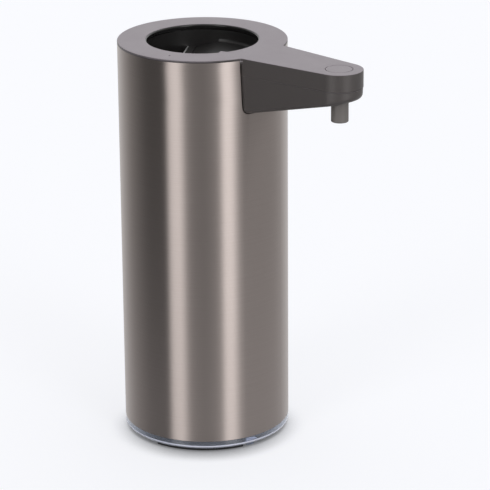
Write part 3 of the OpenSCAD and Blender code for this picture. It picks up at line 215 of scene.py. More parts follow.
# Clear base: its gaps, its lug with its rows as (z, scale) and its pale face as (angle, z), and the pale
# line; face and line are painted light, for the bright light seen in the clear plastic
PLATE_GAP = 0.3
SPIGOT_GAP = 0.3
SPIGOT_W = 2.0
RING_BORE_R = 27.2
RING_SIDES = 240
RING_ROUNDS = [0.25, 1.3, 0.12, 0, 0, 0.2, 0, 0.3, 0.3, 0]
LUG_AZ = math.radians(-15)
LUG_X = (31.5, 36.4)
LUG_HALF = 2.0
LUG_ROUND = 0.2
LUG_ROWS = [(0.2, 0.996), (0.4, 1.0), (plate_high[2] + 0.4, 1.0)]
LUG_FACE_R = (37.45, 37.75)
LUG_FACE = [(-0.085, 3.1), (0.075, 3.2), (0.045, 4.0), (-0.02, 4.6), (-0.085, 4.5)]
LINE_R = (ring_high[1] - 0.5, ring_high[1] + 0.05)
LINE_Z = (2.15, 2.95)
LINE_ROUNDS = [0, 0.2, 0.2, 0]


# ---- meshes ----

# Distances at which points are joined, also on the CAD solids, whose flat faces are joined below an angle
WELD = 1e-4
CAD_WELD = 1e-3
CAD_FLAT = math.radians(0.8)
ON_AXIS = 1e-6


def smoothstep(x, low, high):
    t = min(1.0, max(0.0, (x - low) / (high - low)))
    return t * t * (3 - 2 * t)


def new_object(name, bm, material):
    """A bmesh in millimetres as an object of the scene."""
    bmesh.ops.scale(bm, vec=(MM, MM, MM), verts=bm.verts)
    mesh = bpy.data.meshes.new(name)
    bm.to_mesh(mesh)
    bm.free()
    obj = bpy.data.objects.new(name, mesh)
    bpy.context.scene.collection.objects.link(obj)
    mesh.materials.append(material)
    return obj


def add_bevel(obj, width, segments, degrees):
    """Rounds the edges that are sharper than an angle."""
    bevel = obj.modifiers.new("bevel", "BEVEL")
    bevel.width = width * MM
    bevel.segments = segments
    bevel.limit_method = "ANGLE"
    bevel.angle_limit = math.radians(degrees)


def add_normals(obj, keep_sharp=False):
    """Makes the shading follow the large faces."""
    normals = obj.modifiers.new("normals", "WEIGHTED_NORMAL")
    normals.keep_sharp = keep_sharp
    normals.weight = 100


def finish_mesh(name, bm, body, nodes, material, bevel=0.0, normals=True):
    """Turns a bmesh in millimetres into a piece that rides on a body and stands for CAD nodes."""
    bmesh.ops.remove_doubles(bm, verts=bm.verts, dist=WELD)
    bmesh.ops.recalc_face_normals(bm, faces=bm.faces)
    for face in bm.faces:
        face.smooth = True
    obj = new_object(name, bm, material)
    if bevel:
        add_bevel(obj, bevel, segments=2, degrees=35)
    if normals:
        add_normals(obj, keep_sharp=True)
    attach(obj, body)
    if nodes:
        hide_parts(*nodes)
    return obj


def ring_points(r, z, count):
    return [(r * math.cos(TURN * k / count), r * math.sin(TURN * k / count), z) for k in range(count)]


def add_loop(bm, points):
    return [bm.verts.new(p) for p in points]


def bridge(bm, loops, closed=True):
    """Quads from each loop to the next one. All have the same length."""
    for a, b in zip(loops, loops[1:]):
        n = len(a)
        for k in range(n if closed else n - 1):
            j = (k + 1) % n
            bm.faces.new((a[k], a[j], b[j], b[k]))


def lathe(bm, profile, count, at=(0.0, 0.0), closed=True):
    """Revolves an open or closed profile of (radius, z) points round a vertical axis."""
    rings = []
    for r, z in profile:
        if r < ON_AXIS:
            rings.append([bm.verts.new((at[0], at[1], z))])
        else:
            rings.append(add_loop(bm, [(at[0] + x, at[1] + y, z) for x, y, z in ring_points(r, z, count)]))
    if closed:
        rings.append(rings[0])
    for a, b in zip(rings, rings[1:]):
        if len(a) == len(b) == count:
            bridge(bm, [a, b])
            continue
        for k in range(count):
            j = (k + 1) % count
            if len(b) == count:
                bm.faces.new((a[0], b[j], b[k]))
            elif len(a) == count:
                bm.faces.new((a[k], a[j], b[0]))


def rounded(points, radii, steps):
    """A closed profile of corners with each corner rounded by its radius."""
    out = []
    n = len(points)
    for k in range(n):
        p, q, s = Vector(points[k - 1]), Vector(points[k]), Vector(points[(k + 1) % n])
        r = radii[k]
        if r <= 0:
            out.append(tuple(q))
            continue
        a, b = (p - q).normalized(), (s - q).normalized()
        half = math.acos(max(-1, min(1, a.dot(b)))) / 2
        reach = r / math.tan(half)
        centre = q + (a + b).normalized() * (r / math.sin(half))
        start, end = q + a * reach - centre, q + b * reach - centre
        a0 = math.atan2(start.y, start.x)
        turn = math.atan2(end.y, end.x) - a0
        turn = (turn + math.pi) % TURN - math.pi
        for i in range(steps + 1):
            t = a0 + turn * i / steps
            out.append((centre.x + r * math.cos(t), centre.y + r * math.sin(t)))
    return out


def rectangle(across, up):
    """A rectangle's corners, counterclockwise from its lowest and leftmost."""
    return [(across[0], up[0]), (across[1], up[0]), (across[1], up[1]), (across[0], up[1])]


def fill(bm, loops):
    """Triangles between an outer loop and the holes in it."""
    edges = []
    for loop in loops:
        for k in range(len(loop)):
            a, b = loop[k], loop[(k + 1) % len(loop)]
            edges.append(bm.edges.get((a, b)) or bm.edges.new((a, b)))
    bmesh.ops.triangle_fill(bm, use_beauty=True, use_dissolve=False, edges=edges)


def arm_path(inset, x0, steps=48):
    """The arm's plan from its right root round the tip to its left root, as an open path."""
    w, r = ROOT_HALF - inset, TIP_R - inset
    x1 = ARM_X1 - inset * math.tan(TAPER / 2)
    a0, span = TAPER - QUARTER, math.pi - 2 * TAPER
    path = [(x0, -w), (x1, -w)]
    path += [(TIP_X + r * math.cos(a0 + span * k / steps), r * math.sin(a0 + span * k / steps))
             for k in range(steps + 1)]
    return path + [(x1, w), (x0, w)]


def arm_low(x):
    """The height of the arm's underside."""
    return ARM_LOW + SLOPE * max(0.0, x - ARM_X1)


def seam_edge(x):
    """The chamfer along the seam, which grows towards the tip."""
    return SEAM_EDGE + SEAM_EDGE_GROWTH * smoothstep(x, *SEAM_EDGE_X)


def shift_in(x, y, amount):
    """Moves a point of the arm's skin inwards: across it along the flanks, to the centre round the tip."""
    if x < TIP_X:
        return x, y - math.copysign(amount, y)
    away = Vector((x - TIP_X, y))
    away *= (away.length - amount) / away.length
    return TIP_X + away.x, away.y


def root_arc(steps=7, inset=0.0):
    """The concave corner on the arm's right side, from the round band to the flank."""
    r = ROOT_FILLET + inset
    a0 = math.atan2(FILLET_Y, -FILLET_X)
    return [(FILLET_X + r * math.cos(a0 + (QUARTER - a0) * k / steps),
             -FILLET_Y + r * math.sin(a0 + (QUARTER - a0) * k / steps)) for k in range(steps + 1)]


def cover_outline(inset, round_steps=220):
    """The top's outline: round band, root corners and arm. Returns points and the arm's range."""
    right = root_arc(inset=inset)
    left = [(x, -y) for x, y in reversed(right)]
    join = math.atan2(-right[0][1], right[0][0])
    r = BODY_R - inset
    span = TURN - 2 * join
    around = [(r * math.cos(join + span * k / round_steps), r * math.sin(join + span * k / round_steps))
              for k in range(1, round_steps)]
    arm = arm_path(inset, right[-1][0])[1:-1]
    first = len(around) + len(right) - 1
    return around + right + arm + left, first, first + len(arm) + 1


def refine(name, cad_node, bevel=0.0):
    """A node's own solid with its flat faces joined, its edges rounded and its normals smoothed."""
    bm = bmesh.new()
    bm.from_mesh(frame["nodes"][cad_node].data)
    bmesh.ops.scale(bm, vec=(1 / MM, 1 / MM, 1 / MM), verts=bm.verts)
    bmesh.ops.remove_doubles(bm, verts=bm.verts, dist=CAD_WELD)
    bmesh.ops.dissolve_limit(bm, angle_limit=CAD_FLAT, verts=bm.verts, edges=bm.edges)
    slot = slot_of[cad_node]
    return finish_mesh(name, bm, body_of[cad_node], [cad_node], materials[slot], bevel)


# ---- shader helpers ----

def new_material(name):
    material = bpy.data.materials.new(name)
    material.use_nodes = True
    return material, material.node_tree


def node(tree, kind, **settings):
    made = tree.nodes.new(kind)
    for key, value in settings.items():
        setattr(made, key, value)
    return made


def feed(tree, target, value):
    """Gives an input a number, a colour or another node's output."""
    if isinstance(value, tuple):
        target.default_value = (*value, 1)
    elif isinstance(value, (int, float)):
        target.default_value = value
    else:
        tree.links.new(value, target)


def feed_all(tree, made, **values):
    """Feeds a node's inputs by their names, with an underscore for each space."""
    for key, value in values.items():
        feed(tree, made.inputs[key.replace("_", " ")], value)


def math_node(tree, operation, *values):
    made = node(tree, "ShaderNodeMath", operation=operation)
    for target, value in zip(made.inputs, values):
        feed(tree, target, value)
    return made.outputs[0]


def noise(tree, scale, detail=3.0, roughness=0.55, stretch=(1, 1, 1)):
    """Noise over the object's own coordinates, stretched by a factor along each axis."""
    mapping = node(tree, "ShaderNodeMapping")
    mapping.inputs["Scale"].default_value = stretch
    feed_all(tree, mapping, Vector=node(tree, "ShaderNodeTexCoord").outputs["Object"])
    made = node(tree, "ShaderNodeTexNoise")
    feed_all(tree, made, Scale=scale, Detail=detail, Roughness=roughness, Vector=mapping.outputs["Vector"])
    return made.outputs["Fac"]


def spread(tree, value, low, high, from_low=0.3, from_high=0.7):
    """Maps a noise value onto a range."""
    made = node(tree, "ShaderNodeMapRange")
    feed_all(tree, made, From_Min=from_low, From_Max=from_high, To_Min=low, To_Max=high, Value=value)
    return made.outputs["Result"]


def between(tree, value, low, high):
    """A smooth share from 0 to 1 as a value goes from low to high."""
    made = node(tree, "ShaderNodeMapRange", interpolation_type="SMOOTHSTEP")
    feed_all(tree, made, From_Min=low, From_Max=high, Value=value)
    return made.outputs["Result"]


def blend(tree, kind, a, b, share):
    """The value or colour a where the share is 0 and b where it is 1."""
    made = node(tree, "ShaderNodeMix", data_type=kind)
    feed_all(tree, made, Factor=share, A=a, B=b)
    return made.outputs["Result"]


def tint(tree, share, colour, varied):
    """A colour made darker and lighter by a factor, led by a share."""
    dark, light = (tuple(min(1.0, c * k) for c in colour) for k in (1 - varied, 1 + varied))
    return blend(tree, "RGBA", dark, light, share)


def bump(tree, height, strength, distance):
    made = node(tree, "ShaderNodeBump")
    feed_all(tree, made, Strength=strength, Distance=distance, Height=height)
    return made.outputs["Normal"]


def split(tree, vector):
    """A vector's three parts."""
    made = node(tree, "ShaderNodeSeparateXYZ")
    feed(tree, made.inputs[0], vector)
    return made.outputs


# ---- materials ----

# Noise scales are per metre. A part is the share of one noise in a mix of two.
DRIFT_SCALE = 38.0
DRIFT_PART = 0.6
DRIFT_FROM = (0.35, 0.65)
WEAR_SCALE = 90.0
WEAR = 0.07
GRAIN_BUMP = 0.35
LINES_PART = 0.75
LINES_DRIFT_SCALE = 14.0
LINES_BUMP = 0.25
WAVES_BUMP = 0.3

# Painted shade: where a surface goes over from its flanks, darkened as shade, to its lit top, by how much
# its normal looks up, and where the flanks get less of the painted shade towards the body's ring, in metres
# along x, and by how much
SIDE_SHADE_UP = (0.2, 0.8)
BAND_LESS_SHADE_X = (0.0305, 0.0275)
BAND_LESS_SHADE_SHARE = 0.45


def satin(name, colour, rough, metallic=0.0, grain=2600.0, grain_depth=0.00002, varied=0.05, flank=None):
    """Moulded or painted surface: fine grain, soft colour drift, a worn spread of roughness and, if a flank
    colour is given, painted shade on upright faces.
    """
    material, tree = new_material(name)
    drift = noise(tree, DRIFT_SCALE, detail=2.0)
    speck = noise(tree, grain, detail=2.0)
    specks = math_node(tree, "MULTIPLY", speck, 1 - DRIFT_PART)
    mixed = spread(tree, math_node(tree, "MULTIPLY_ADD", drift, DRIFT_PART, specks), 0.0, 1.0, *DRIFT_FROM)
    paint = tint(tree, mixed, colour, varied)
    # Painted shade: upright faces take the darker flank colour, faces that look up take the lit top colour,
    # and the round band's side takes less of the shade
    if flank:
        surface = node(tree, "ShaderNodeNewGeometry").outputs
        up = between(tree, split(tree, surface["Normal"])[2], *SIDE_SHADE_UP)
        band_less_shade = between(tree, split(tree, surface["Position"])[0], *BAND_LESS_SHADE_X)
        light = math_node(tree, "MAXIMUM", up, math_node(tree, "MULTIPLY", band_less_shade, BAND_LESS_SHADE_SHARE))
        paint = blend(tree, "RGBA", tint(tree, mixed, flank, varied), paint, light)
    wear = spread(tree, noise(tree, WEAR_SCALE), rough * (1 - WEAR), rough * (1 + WEAR))
    feed_all(tree, tree.nodes["Principled BSDF"], Base_Color=paint, Roughness=wear, Metallic=metallic,
             Normal=bump(tree, speck, GRAIN_BUMP, grain_depth))
    return material


def brushed(name, colour, rough, stretch, axis=None, turn=0.0, scale=60.0, depth=0.000004, varied=0.05,
            rough_varied=0.06):
    """Metal with fine lines along the axes of small stretch, and drawn-out gloss if an axis is given."""
    material, tree = new_material(name)
    shader = tree.nodes["Principled BSDF"]
    lines = noise(tree, scale, detail=4.0, roughness=0.7, stretch=stretch)
    drift = math_node(tree, "MULTIPLY", noise(tree, LINES_DRIFT_SCALE, detail=2.0), 1 - LINES_PART)
    mixed = spread(tree, math_node(tree, "MULTIPLY_ADD", lines, LINES_PART, drift), 0.0, 1.0)
    wear = spread(tree, lines, rough * (1 - rough_varied), rough * (1 + rough_varied))
    feed_all(tree, shader, Base_Color=tint(tree, mixed, colour, varied), Roughness=wear, Metallic=1.0,
             Normal=bump(tree, lines, LINES_BUMP, depth))
    if axis:
        round_axis = node(tree, "ShaderNodeTangent", direction_type="RADIAL", axis=axis)
        feed_all(tree, shader, Anisotropic=1.0, Anisotropic_Rotation=turn, Tangent=round_axis.outputs[0])
    return material


def clear(name, dark, light, tint_scale, rough, rough_scale, passes, waves=None):
    """Clear moulded plastic: faint tint, a little haze and, if given, slow waves as (scale, depth).

    passes is the share of light that goes through: one number, or one seen face on, one seen at a low angle
    and the range between them.
    """
    material, tree = new_material(name)
    shader = tree.nodes["Principled BSDF"]
    if isinstance(passes, tuple):
        facing = node(tree, "ShaderNodeLayerWeight")
        feed_all(tree, facing, Blend=0.5)
        passes = blend(tree, "FLOAT", *passes[:2], between(tree, facing.outputs["Facing"], *passes[2:]))
    colour = blend(tree, "RGBA", dark, light, noise(tree, tint_scale, detail=2.0))
    haze = spread(tree, noise(tree, rough_scale), *rough)
    feed_all(tree, shader, Base_Color=colour, Roughness=haze, Transmission_Weight=passes)
    if waves:
        feed_all(tree, shader, Normal=bump(tree, noise(tree, waves[0], detail=1.0), WAVES_BUMP, waves[1]))
    return material


# The case's one paint, with its flank colour as painted shade on the upright sides of the cover, the arm
# and the button
CASE_PAINT = dict(colour=(0.290, 0.258, 0.284), rough=0.46, metallic=0.12, grain=5200.0,
                  grain_depth=0.000012, varied=0.035, flank=(0.087, 0.077, 0.075))
materials = {}
for make, name, looks in [
        (brushed, "shell_steel", dict(colour=(0.335, 0.292, 0.275), rough=0.33, stretch=(0.5, 0.5, 60.0),
                                      axis="Z", turn=0.25, scale=70.0, varied=0.06, rough_varied=0.07)),
        (satin, "cover_plastic", CASE_PAINT),
        (satin, "arm_plastic", CASE_PAINT),
        (satin, "nozzle_plastic", dict(colour=(0.215, 0.197, 0.188), rough=0.55, metallic=0.12,
                                       varied=0.04)),
        (satin, "neck_rim", dict(colour=(0.012, 0.0115, 0.0115), rough=0.09, grain=900.0,
                                 grain_depth=0.000004, varied=0.15)),
        (satin, "black_plastic", dict(colour=(0.022, 0.022, 0.024), rough=0.48, varied=0.12)),
        (satin, "tank_plastic", dict(colour=(0.0165, 0.0155, 0.0155), rough=0.34, grain=900.0,
                                     grain_depth=0.00001, varied=0.15)),
        (satin, "foot_rubber", dict(colour=(0.014, 0.014, 0.015), rough=0.75, grain=3200.0,
                                    grain_depth=0.00005, varied=0.15)),
        (satin, "window_dark", dict(colour=(0.018, 0.008, 0.011), rough=0.10, grain=400.0,
                                    grain_depth=0.000003, varied=0.1)),
        (satin, "board_green", dict(colour=(0.015, 0.085, 0.040), rough=0.38, grain=700.0, varied=0.14)),
        (satin, "switch_black", dict(colour=(0.03, 0.03, 0.033), rough=0.42, varied=0.1)),
        (brushed, "fastener_steel", dict(colour=(0.56, 0.56, 0.57), rough=0.30, stretch=(1.0, 1.0, 1.0),
                                         scale=900.0, varied=0.08)),
        (brushed, "spring_steel", dict(colour=(0.62, 0.62, 0.63), rough=0.22, stretch=(1.0, 1.0, 4.0),
                                       scale=600.0, varied=0.07)),
        (brushed, "cell_wrap", dict(colour=(0.10, 0.105, 0.12), rough=0.33, stretch=(1.0, 1.0, 0.1),
                                    scale=240.0, varied=0.10)),
        (brushed, "contact_nickel", dict(colour=(0.60, 0.585, 0.54), rough=0.28, stretch=(1.0, 1.0, 0.3),
                                         scale=420.0, varied=0.06)),
        (brushed, "motor_can", dict(colour=(0.55, 0.56, 0.57), rough=0.34, stretch=(1.0, 1.0, 0.15),
                                    scale=420.0, varied=0.07)),
        (brushed, "armature_copper", dict(colour=(0.52, 0.22, 0.11), rough=0.36, stretch=(0.4, 0.4, 6.0),
                                          scale=520.0, varied=0.18)),
        (brushed, "shaft_steel", dict(colour=(0.63, 0.64, 0.65), rough=0.18, stretch=(0.4, 0.4, 6.0),
                                      scale=520.0, varied=0.05)),
        (brushed, "pinion_brass", dict(colour=(0.60, 0.42, 0.16), rough=0.30, stretch=(1.0, 1.0, 0.2),
                                       scale=420.0, varied=0.08)),
        (satin, "gear_plastic", dict(colour=(0.66, 0.61, 0.51), rough=0.44, varied=0.05)),
        (satin, "pump_plastic", dict(colour=(0.045, 0.05, 0.06), rough=0.46, varied=0.1)),
        (satin, "seal_rubber", dict(colour=(0.20, 0.035, 0.025), rough=0.62, varied=0.12)),
        (satin, "tube_silicone", dict(colour=(0.55, 0.58, 0.58), rough=0.36, varied=0.05)),
        (satin, "lead_sleeve", dict(colour=(0.028, 0.028, 0.03), rough=0.52, varied=0.12)),
        (clear, "clear_base", dict(dark=(0.62, 0.68, 0.82), light=(0.70, 0.76, 0.90), tint_scale=60.0,
                                   rough=(0.03, 0.09), rough_scale=260.0, passes=(0.84, 0.32, 0.22, 0.7),
                                   waves=(110.0, 0.00006))),
        # Pale colour of the base's line and the lug's face: painted light
        (satin, "frosted_line", dict(colour=(0.80, 0.82, 0.95), rough=0.32, grain=1500.0,
                                     grain_depth=0.00001, varied=0.02)),
        (brushed, "polished_edge", dict(colour=(0.95, 0.95, 0.95), rough=0.42, stretch=(1.0, 1.0, 1.0),
                                        scale=700.0, depth=0.000001, varied=0.03)),
        (clear, "led_clear", dict(dark=(0.48, 0.49, 0.51), light=(0.56, 0.57, 0.59), tint_scale=300.0,
                                  rough=(0.06, 0.16), rough_scale=900.0, passes=0.95))]:
    materials[name] = make(name, **looks)

slot_of = {part["node"]: part["material_slot"] for part in frame["record"]["subparts"]}
body_of = {name: body for body, names in frame["record"]["behaviour"]["bodies"].items() for name in names}
for name, obj in frame["nodes"].items():
    obj.data.materials.clear()
    obj.data.materials.append(materials[slot_of[name]])


# ---- outer shell ----

def make_shell():
    """The steel tube as a grid of columns. Those in the notch end at its edge, which leans in downwards."""
    half = ROOT_HALF + NOTCH_GAP
    low = ARM_LOW - NOTCH_GAP
    shoulder = low + NOTCH_ROUND
    web = BAND_Z - WEB_DROP
    side_az = math.asin(half / BODY_R)
    round_steps, flat_steps = 9, 5
    ys = [half - NOTCH_ROUND + NOTCH_ROUND * math.sin(QUARTER * k / round_steps)
          for k in range(round_steps + 1)]
    left = [(ys[0] * k / flat_steps, low) for k in range(flat_steps)]
    left += [(y, shoulder - math.sqrt(max(0.0, NOTCH_ROUND ** 2 - (y - ys[0]) ** 2))) for y in ys]
    columns = []
    for y, z in [(-y, z) for y, z in reversed(left[1:])] + left:
        narrowed = 1 - ROOT_LEAN * (web - z) / (web - low) / half
        columns.append((math.asin(y * narrowed / BODY_R), z, False))
    columns[0] = (-side_az, shoulder, True)
    columns[-1] = (side_az, shoulder, True)
    span = TURN - 2 * side_az
    columns += [(side_az + span * k / SHELL_SIDES, shoulder, True) for k in range(1, SHELL_SIDES)]
    below = [BASE_H, BASE_H + SHELL_EDGE_ROW, *SHELL_ROWS, low - NOTCH_ROWS]
    above = [shoulder + NOTCH_ROWS, web, BAND_Z - SHELL_EDGE_ROW, BAND_Z]
    bm = bmesh.new()
    grid = []
    for az, z_notch, full in columns:
        points = []
        for z in below + [z_notch] + (above if full else []):
            turned = az
            if full:
                share = min(web - low - NOTCH_ROUND, max(0.0, web - z)) / (web - low)
                edge_az = math.asin((half - ROOT_LEAN * share) / BODY_R)
                from_back = az - math.pi if az > 0 else az + math.pi
                turned = math.pi + from_back * (math.pi - edge_az) / (math.pi - side_az)
            points.append((BODY_R * math.cos(turned), BODY_R * math.sin(turned), z))
        grid.append(add_loop(bm, points))
    for a, b in zip(grid, grid[1:] + grid[:1]):
        for i in range(min(len(a), len(b)) - 1):
            bm.faces.new((a[i], b[i], b[i + 1], a[i + 1]))
    shell = finish_mesh("shell", bm, "housing", ["outer_shell"], materials["shell_steel"],
                        normals=False)
    wall = shell.modifiers.new("wall", "SOLIDIFY")
    wall.thickness = SHELL_T * MM
    wall.offset = -1.0
    wall.use_even_offset = True
    add_bevel(shell, SHELL_EDGE, segments=4, degrees=50)
    add_normals(shell)


# ---- top cover ----

def make_cover():
    """The round cover and the arm's upper half in one piece."""
    bm = bmesh.new()
    steps = 4
    outer = []
    for k in range(steps + 1):
        a = QUARTER * (1 - k / steps)
        points = cover_outline(EDGE * (1 - math.cos(a)))[0]
        outer.append(add_loop(bm, [(x, y, TOP - EDGE * (1 - math.sin(a))) for x, y in points]))
    points, first, last = cover_outline(0.0)
    band = add_loop(bm, [(x, y, BAND_Z) for x, y in points])
    bridge(bm, outer + [band])

    # The mouth, the button's hole and the light's hole
    mouth = [add_loop(bm, ring_points(r, z, MOUTH_SIDES)) for r, z in MOUTH_PROFILE]
    bridge(bm, mouth)
    holes = [mouth]
    for r, x, y, sides, edge in [
            (BUTTON_R + BUTTON_GAP, TIP_X, 0.0, 72, BUTTON_HOLE_EDGE),
            (PIN_R, PIN_RING * math.cos(PIN_AZ), PIN_RING * math.sin(PIN_AZ), 24, PIN_HOLE_EDGE)]:
        holes.append([add_loop(bm, [(px + x, py + y, pz) for px, py, pz in ring_points(radius, z, sides)])
                      for radius, z in [(r + edge, TOP), (r, TOP - edge), (r, BAND_Z)]])
        bridge(bm, holes[-1])
    fill(bm, [outer[0]] + [rings[0] for rings in holes])

    # Walls of the arm's upper half below the plate
    seam = SEAM_Z + SEAM_GAP
    root_right = bm.verts.new((ARM_X0, -ROOT_HALF, BAND_Z))
    root_left = bm.verts.new((ARM_X0, ROOT_HALF, BAND_Z))
    top_path = [root_right] + [band[k % len(band)] for k in range(first, last + 1)] + [root_left]
    plan = [(v.co.x, v.co.y) for v in top_path]
    low_path = add_loop(bm, [(*shift_in(x, y, seam_edge(x)), seam) for x, y in plan])
    edge_path = add_loop(bm, [(x, y, seam + seam_edge(x)) for x, y in plan])
    bridge(bm, [top_path, edge_path, low_path], closed=False)
    liner_top, liner_low = (add_loop(bm, [(x, y, z) for x, y in arm_path(ARM_WALL, ARM_X0)])
                            for z in (BAND_Z, seam))
    bridge(bm, [liner_low, liner_top], closed=False)
    for end in (0, -1):
        bm.faces.new([path[end] for path in (top_path, edge_path, low_path, liner_low, liner_top)])
    fill(bm, [low_path + liner_low[::-1]])
    ring_part = [band[k % len(band)] for k in range(last, first + len(band) + 1)]
    fill(bm, [ring_part + [root_right] + liner_top + [root_left]] + [rings[-1] for rings in holes])

    # The tab on the rim
    x, y = MOUTH_R + LIP_REACH, TAB_W / 2 + TAB_SPREAD
    tab = rounded([(x, -y), (MOUTH_R - TAB_L, 0.0), (x, y)], [0.0, TAB_ROUND, 0.0], steps=4)
    c, s = math.cos(TAB_AZ), math.sin(TAB_AZ)
    tab = [(x * c - y * s, x * s + y * c) for x, y in tab]
    mid_x, mid_y = MOUTH_R * c, MOUTH_R * s
    rows = [add_loop(bm, [((x - mid_x) * share + mid_x, (y - mid_y) * share + mid_y, TOP - depth)
                          for x, y in tab]) for share, depth in TAB_ROWS]
    bridge(bm, rows)
    bm.faces.new(rows[0])
    bm.faces.new(rows[-1][::-1])

    # The webs in the root corners
    web = root_arc()
    web += [(web[k][0] + dx, web[k][1] + dy) for k, (dx, dy) in ((-1, WEB_IN_ARM), (0, WEB_IN_BAND))]
    for side in (1, -1):
        rows = [add_loop(bm, [(x, side * y, z) for x, y in web])
                for z in (BAND_Z + WEB_BITE, TOP - WEB_DROP)]
        bridge(bm, rows)
        for row in rows:
            bm.faces.new(row)
    finish_mesh("cover", bm, "housing", ["top_cover"], materials["cover_plastic"])


# ---- lower half of the arm ----

def make_lower():
    """The arm's lower half: an open trough with rounded long edges and holes in its floor."""
    bm = bmesh.new()

    def row(inset, height):
        return add_loop(bm, [(x, y, height(x)) for x, y in arm_path(inset, ARM_X0)])

    def low_row(wall, radius, angle):
        lift = wall + radius * (1 - math.cos(angle))
        return row(wall + radius * (1 - math.sin(angle)), lambda x: arm_low(x) + lift)

    def rim(x):
        return SEAM_Z - SEAM_GAP - SEAM_TIP_GAP * smoothstep(x, *SEAM_TIP_X)

    steps = 9
    outer, inner = [], []
    for k in range(steps + 1):
        angle = QUARTER * k / steps
        outer.append(low_row(0.0, ARM_ROUND, angle))
        inner.append(low_row(ARM_WALL, ARM_INNER_ROUND - ARM_WALL, angle))
    outer += [row(0.0, lambda x: rim(x) - seam_edge(x)), row(0.0, rim)]
    for v in outer[-1]:
        v.co.x, v.co.y = shift_in(v.co.x, v.co.y, seam_edge(v.co.x))
    for v in [v for points in outer for v in points]:
        depth = (SEAM_Z - v.co.z) / (SEAM_Z - arm_low(v.co.x))
        step = smoothstep(v.co.x, *TIP_STEP_X) * (TIP_STEP + (ARM_DRAFT - TIP_STEP) * depth)
        v.co.x, v.co.y = shift_in(v.co.x, v.co.y, step)
        v.co.y -= math.copysign(ROOT_LEAN * depth * (1 - smoothstep(v.co.x, *LEAN_X)), v.co.y)
    inner += [row(ARM_WALL, lambda x: rim(x) - SEAM_INNER_EDGE), row(ARM_WALL, rim)]
    for rows in (outer, inner, [outer[-1], inner[-1]]):
        bridge(bm, rows, closed=False)
    for end in (0, -1):
        for (a, b), (c, d) in zip(zip(outer, outer[1:]), zip(inner, inner[1:])):
            bm.faces.new((a[end], b[end], d[end], c[end]))
    bm.faces.new((outer[0][-1], outer[0][0], inner[0][0], inner[0][-1]))

    # Holes for the nozzle, the sensor window and the two screws
    def hole(points):
        rows = [add_loop(bm, [(x, y, arm_low(x) + lift) for x, y in points]) for lift in (0.0, ARM_WALL)]
        bridge(bm, rows)
        return rows

    def disc(x, y, r, count):
        return hole([(x + px, y + py) for px, py, _ in ring_points(r, 0, count)])

    half_l = WINDOW_HALF_L * math.cos(math.atan(SLOPE))
    window = rectangle((WINDOW_X - half_l, WINDOW_X + half_l), (-WINDOW_HALF_W, WINDOW_HALF_W))
    window = rounded(window, [WINDOW_ROUND] * 4, steps=2)
    holes = [disc(NOZZLE_X, 0.0, NOZZLE_R + NOZZLE_HOLE_GAP, count=48), hole(window)]
    holes += [disc(BOSS_X, y, SCREW_WELL_R, count=36) for y in (BOSS_Y, -BOSS_Y)]
    fill(bm, [outer[0]] + [low for low, high in holes])
    fill(bm, [inner[0]] + [high for low, high in holes])
    finish_mesh("arm_lower", bm, "housing", ["spout_lower_cover"], materials["arm_plastic"])


# ---- button, nozzle, mouth, base ----

def make_button():
    bm = bmesh.new()
    low, high = button_low[2], button_high[2]
    flange_r = BUTTON_R + BUTTON_FLANGE_W
    z0, z1 = (high - depth for depth in BUTTON_FLANGE)
    profile = rounded([(0.0, high), (BUTTON_R, high), (BUTTON_R, z1), (flange_r, z1), (flange_r, z0),
                       (BUTTON_STEM_R, z0), (BUTTON_STEM_R, low), (0.0, low)], BUTTON_ROUNDS, steps=4)
    lathe(bm, profile, count=96, at=(TIP_X, 0.0), closed=False)
    finish_mesh("button", bm, "power_button", ["power_button"], materials["cover_plastic"])


def make_nozzle():
    """The outlet with its flange, its elbow inside the arm and the bore for the valve."""
    bm = bmesh.new()
    low, high = nozzle_low[2], nozzle_high[2]
    seat = high - 2 * ELBOW_R - NOZZLE_SEAT_GAP
    flange_z1, roof, valve_z1 = seat + NOZZLE_FLANGE_T, high - NOZZLE_ROOF, low + NOZZLE_VALVE_L
    profile = rounded([(NOZZLE_R, low), (NOZZLE_R, seat), (NOZZLE_FLANGE_R, seat),
                       (NOZZLE_FLANGE_R, flange_z1), (NOZZLE_R, flange_z1), (NOZZLE_R, high), (0.0, high),
                       (0.0, roof), (NOZZLE_BORE_R, roof), (NOZZLE_BORE_R, valve_z1),
                       (NOZZLE_VALVE_R, valve_z1), (NOZZLE_VALVE_R, low)], NOZZLE_ROUNDS, steps=5)
    lathe(bm, profile, count=96, at=(NOZZLE_X, 0.0))
    across = bmesh.new()
    elbow_end = ELBOW_L - ELBOW_OPEN
    profile = rounded([(ELBOW_R, 0.0), (ELBOW_R, elbow_end), (BARB_BORE_R, elbow_end),
                       (BARB_BORE_R, -BARB_L), (BARB_R - BARB_NOSE, -BARB_L), (BARB_R, -BARB_NOSE_X),
                       (BARB_R, 0.0)], BARB_ROUNDS, steps=3)
    lathe(across, profile, count=48)
    bmesh.ops.rotate(across, cent=(0, 0, 0), matrix=Matrix.Rotation(QUARTER, 3, "Y"), verts=across.verts)
    bmesh.ops.translate(across, vec=(NOZZLE_X - ELBOW_L, 0, high - ELBOW_R), verts=across.verts)
    joined = bpy.data.meshes.new("elbow")
    across.to_mesh(joined)
    across.free()
    bm.from_mesh(joined)
    bpy.data.meshes.remove(joined)
    finish_mesh("outlet", bm, "housing", ["nozzle"], materials["nozzle_plastic"])


def make_guard_edge():
    """The polished strip along the filler guard's pouring edge."""
    bm = bmesh.new()
    half = math.sqrt(GUARD_R ** 2 - GUARD_EDGE_W ** 2)
    section = rounded(rectangle(STRIP_ACROSS, STRIP_UP), STRIP_ROUNDS, steps=5)
    c, s = math.cos(GUARD_AZ), math.sin(GUARD_AZ)
    rows = [add_loop(bm, [(w * c + t * s, w * s - t * c, z) for w, z in section]) for t in (-half, half)]
    bridge(bm, rows)
    for row in rows:
        bm.faces.new(row)
    finish_mesh("guard_edge", bm, "housing", [], materials["polished_edge"])


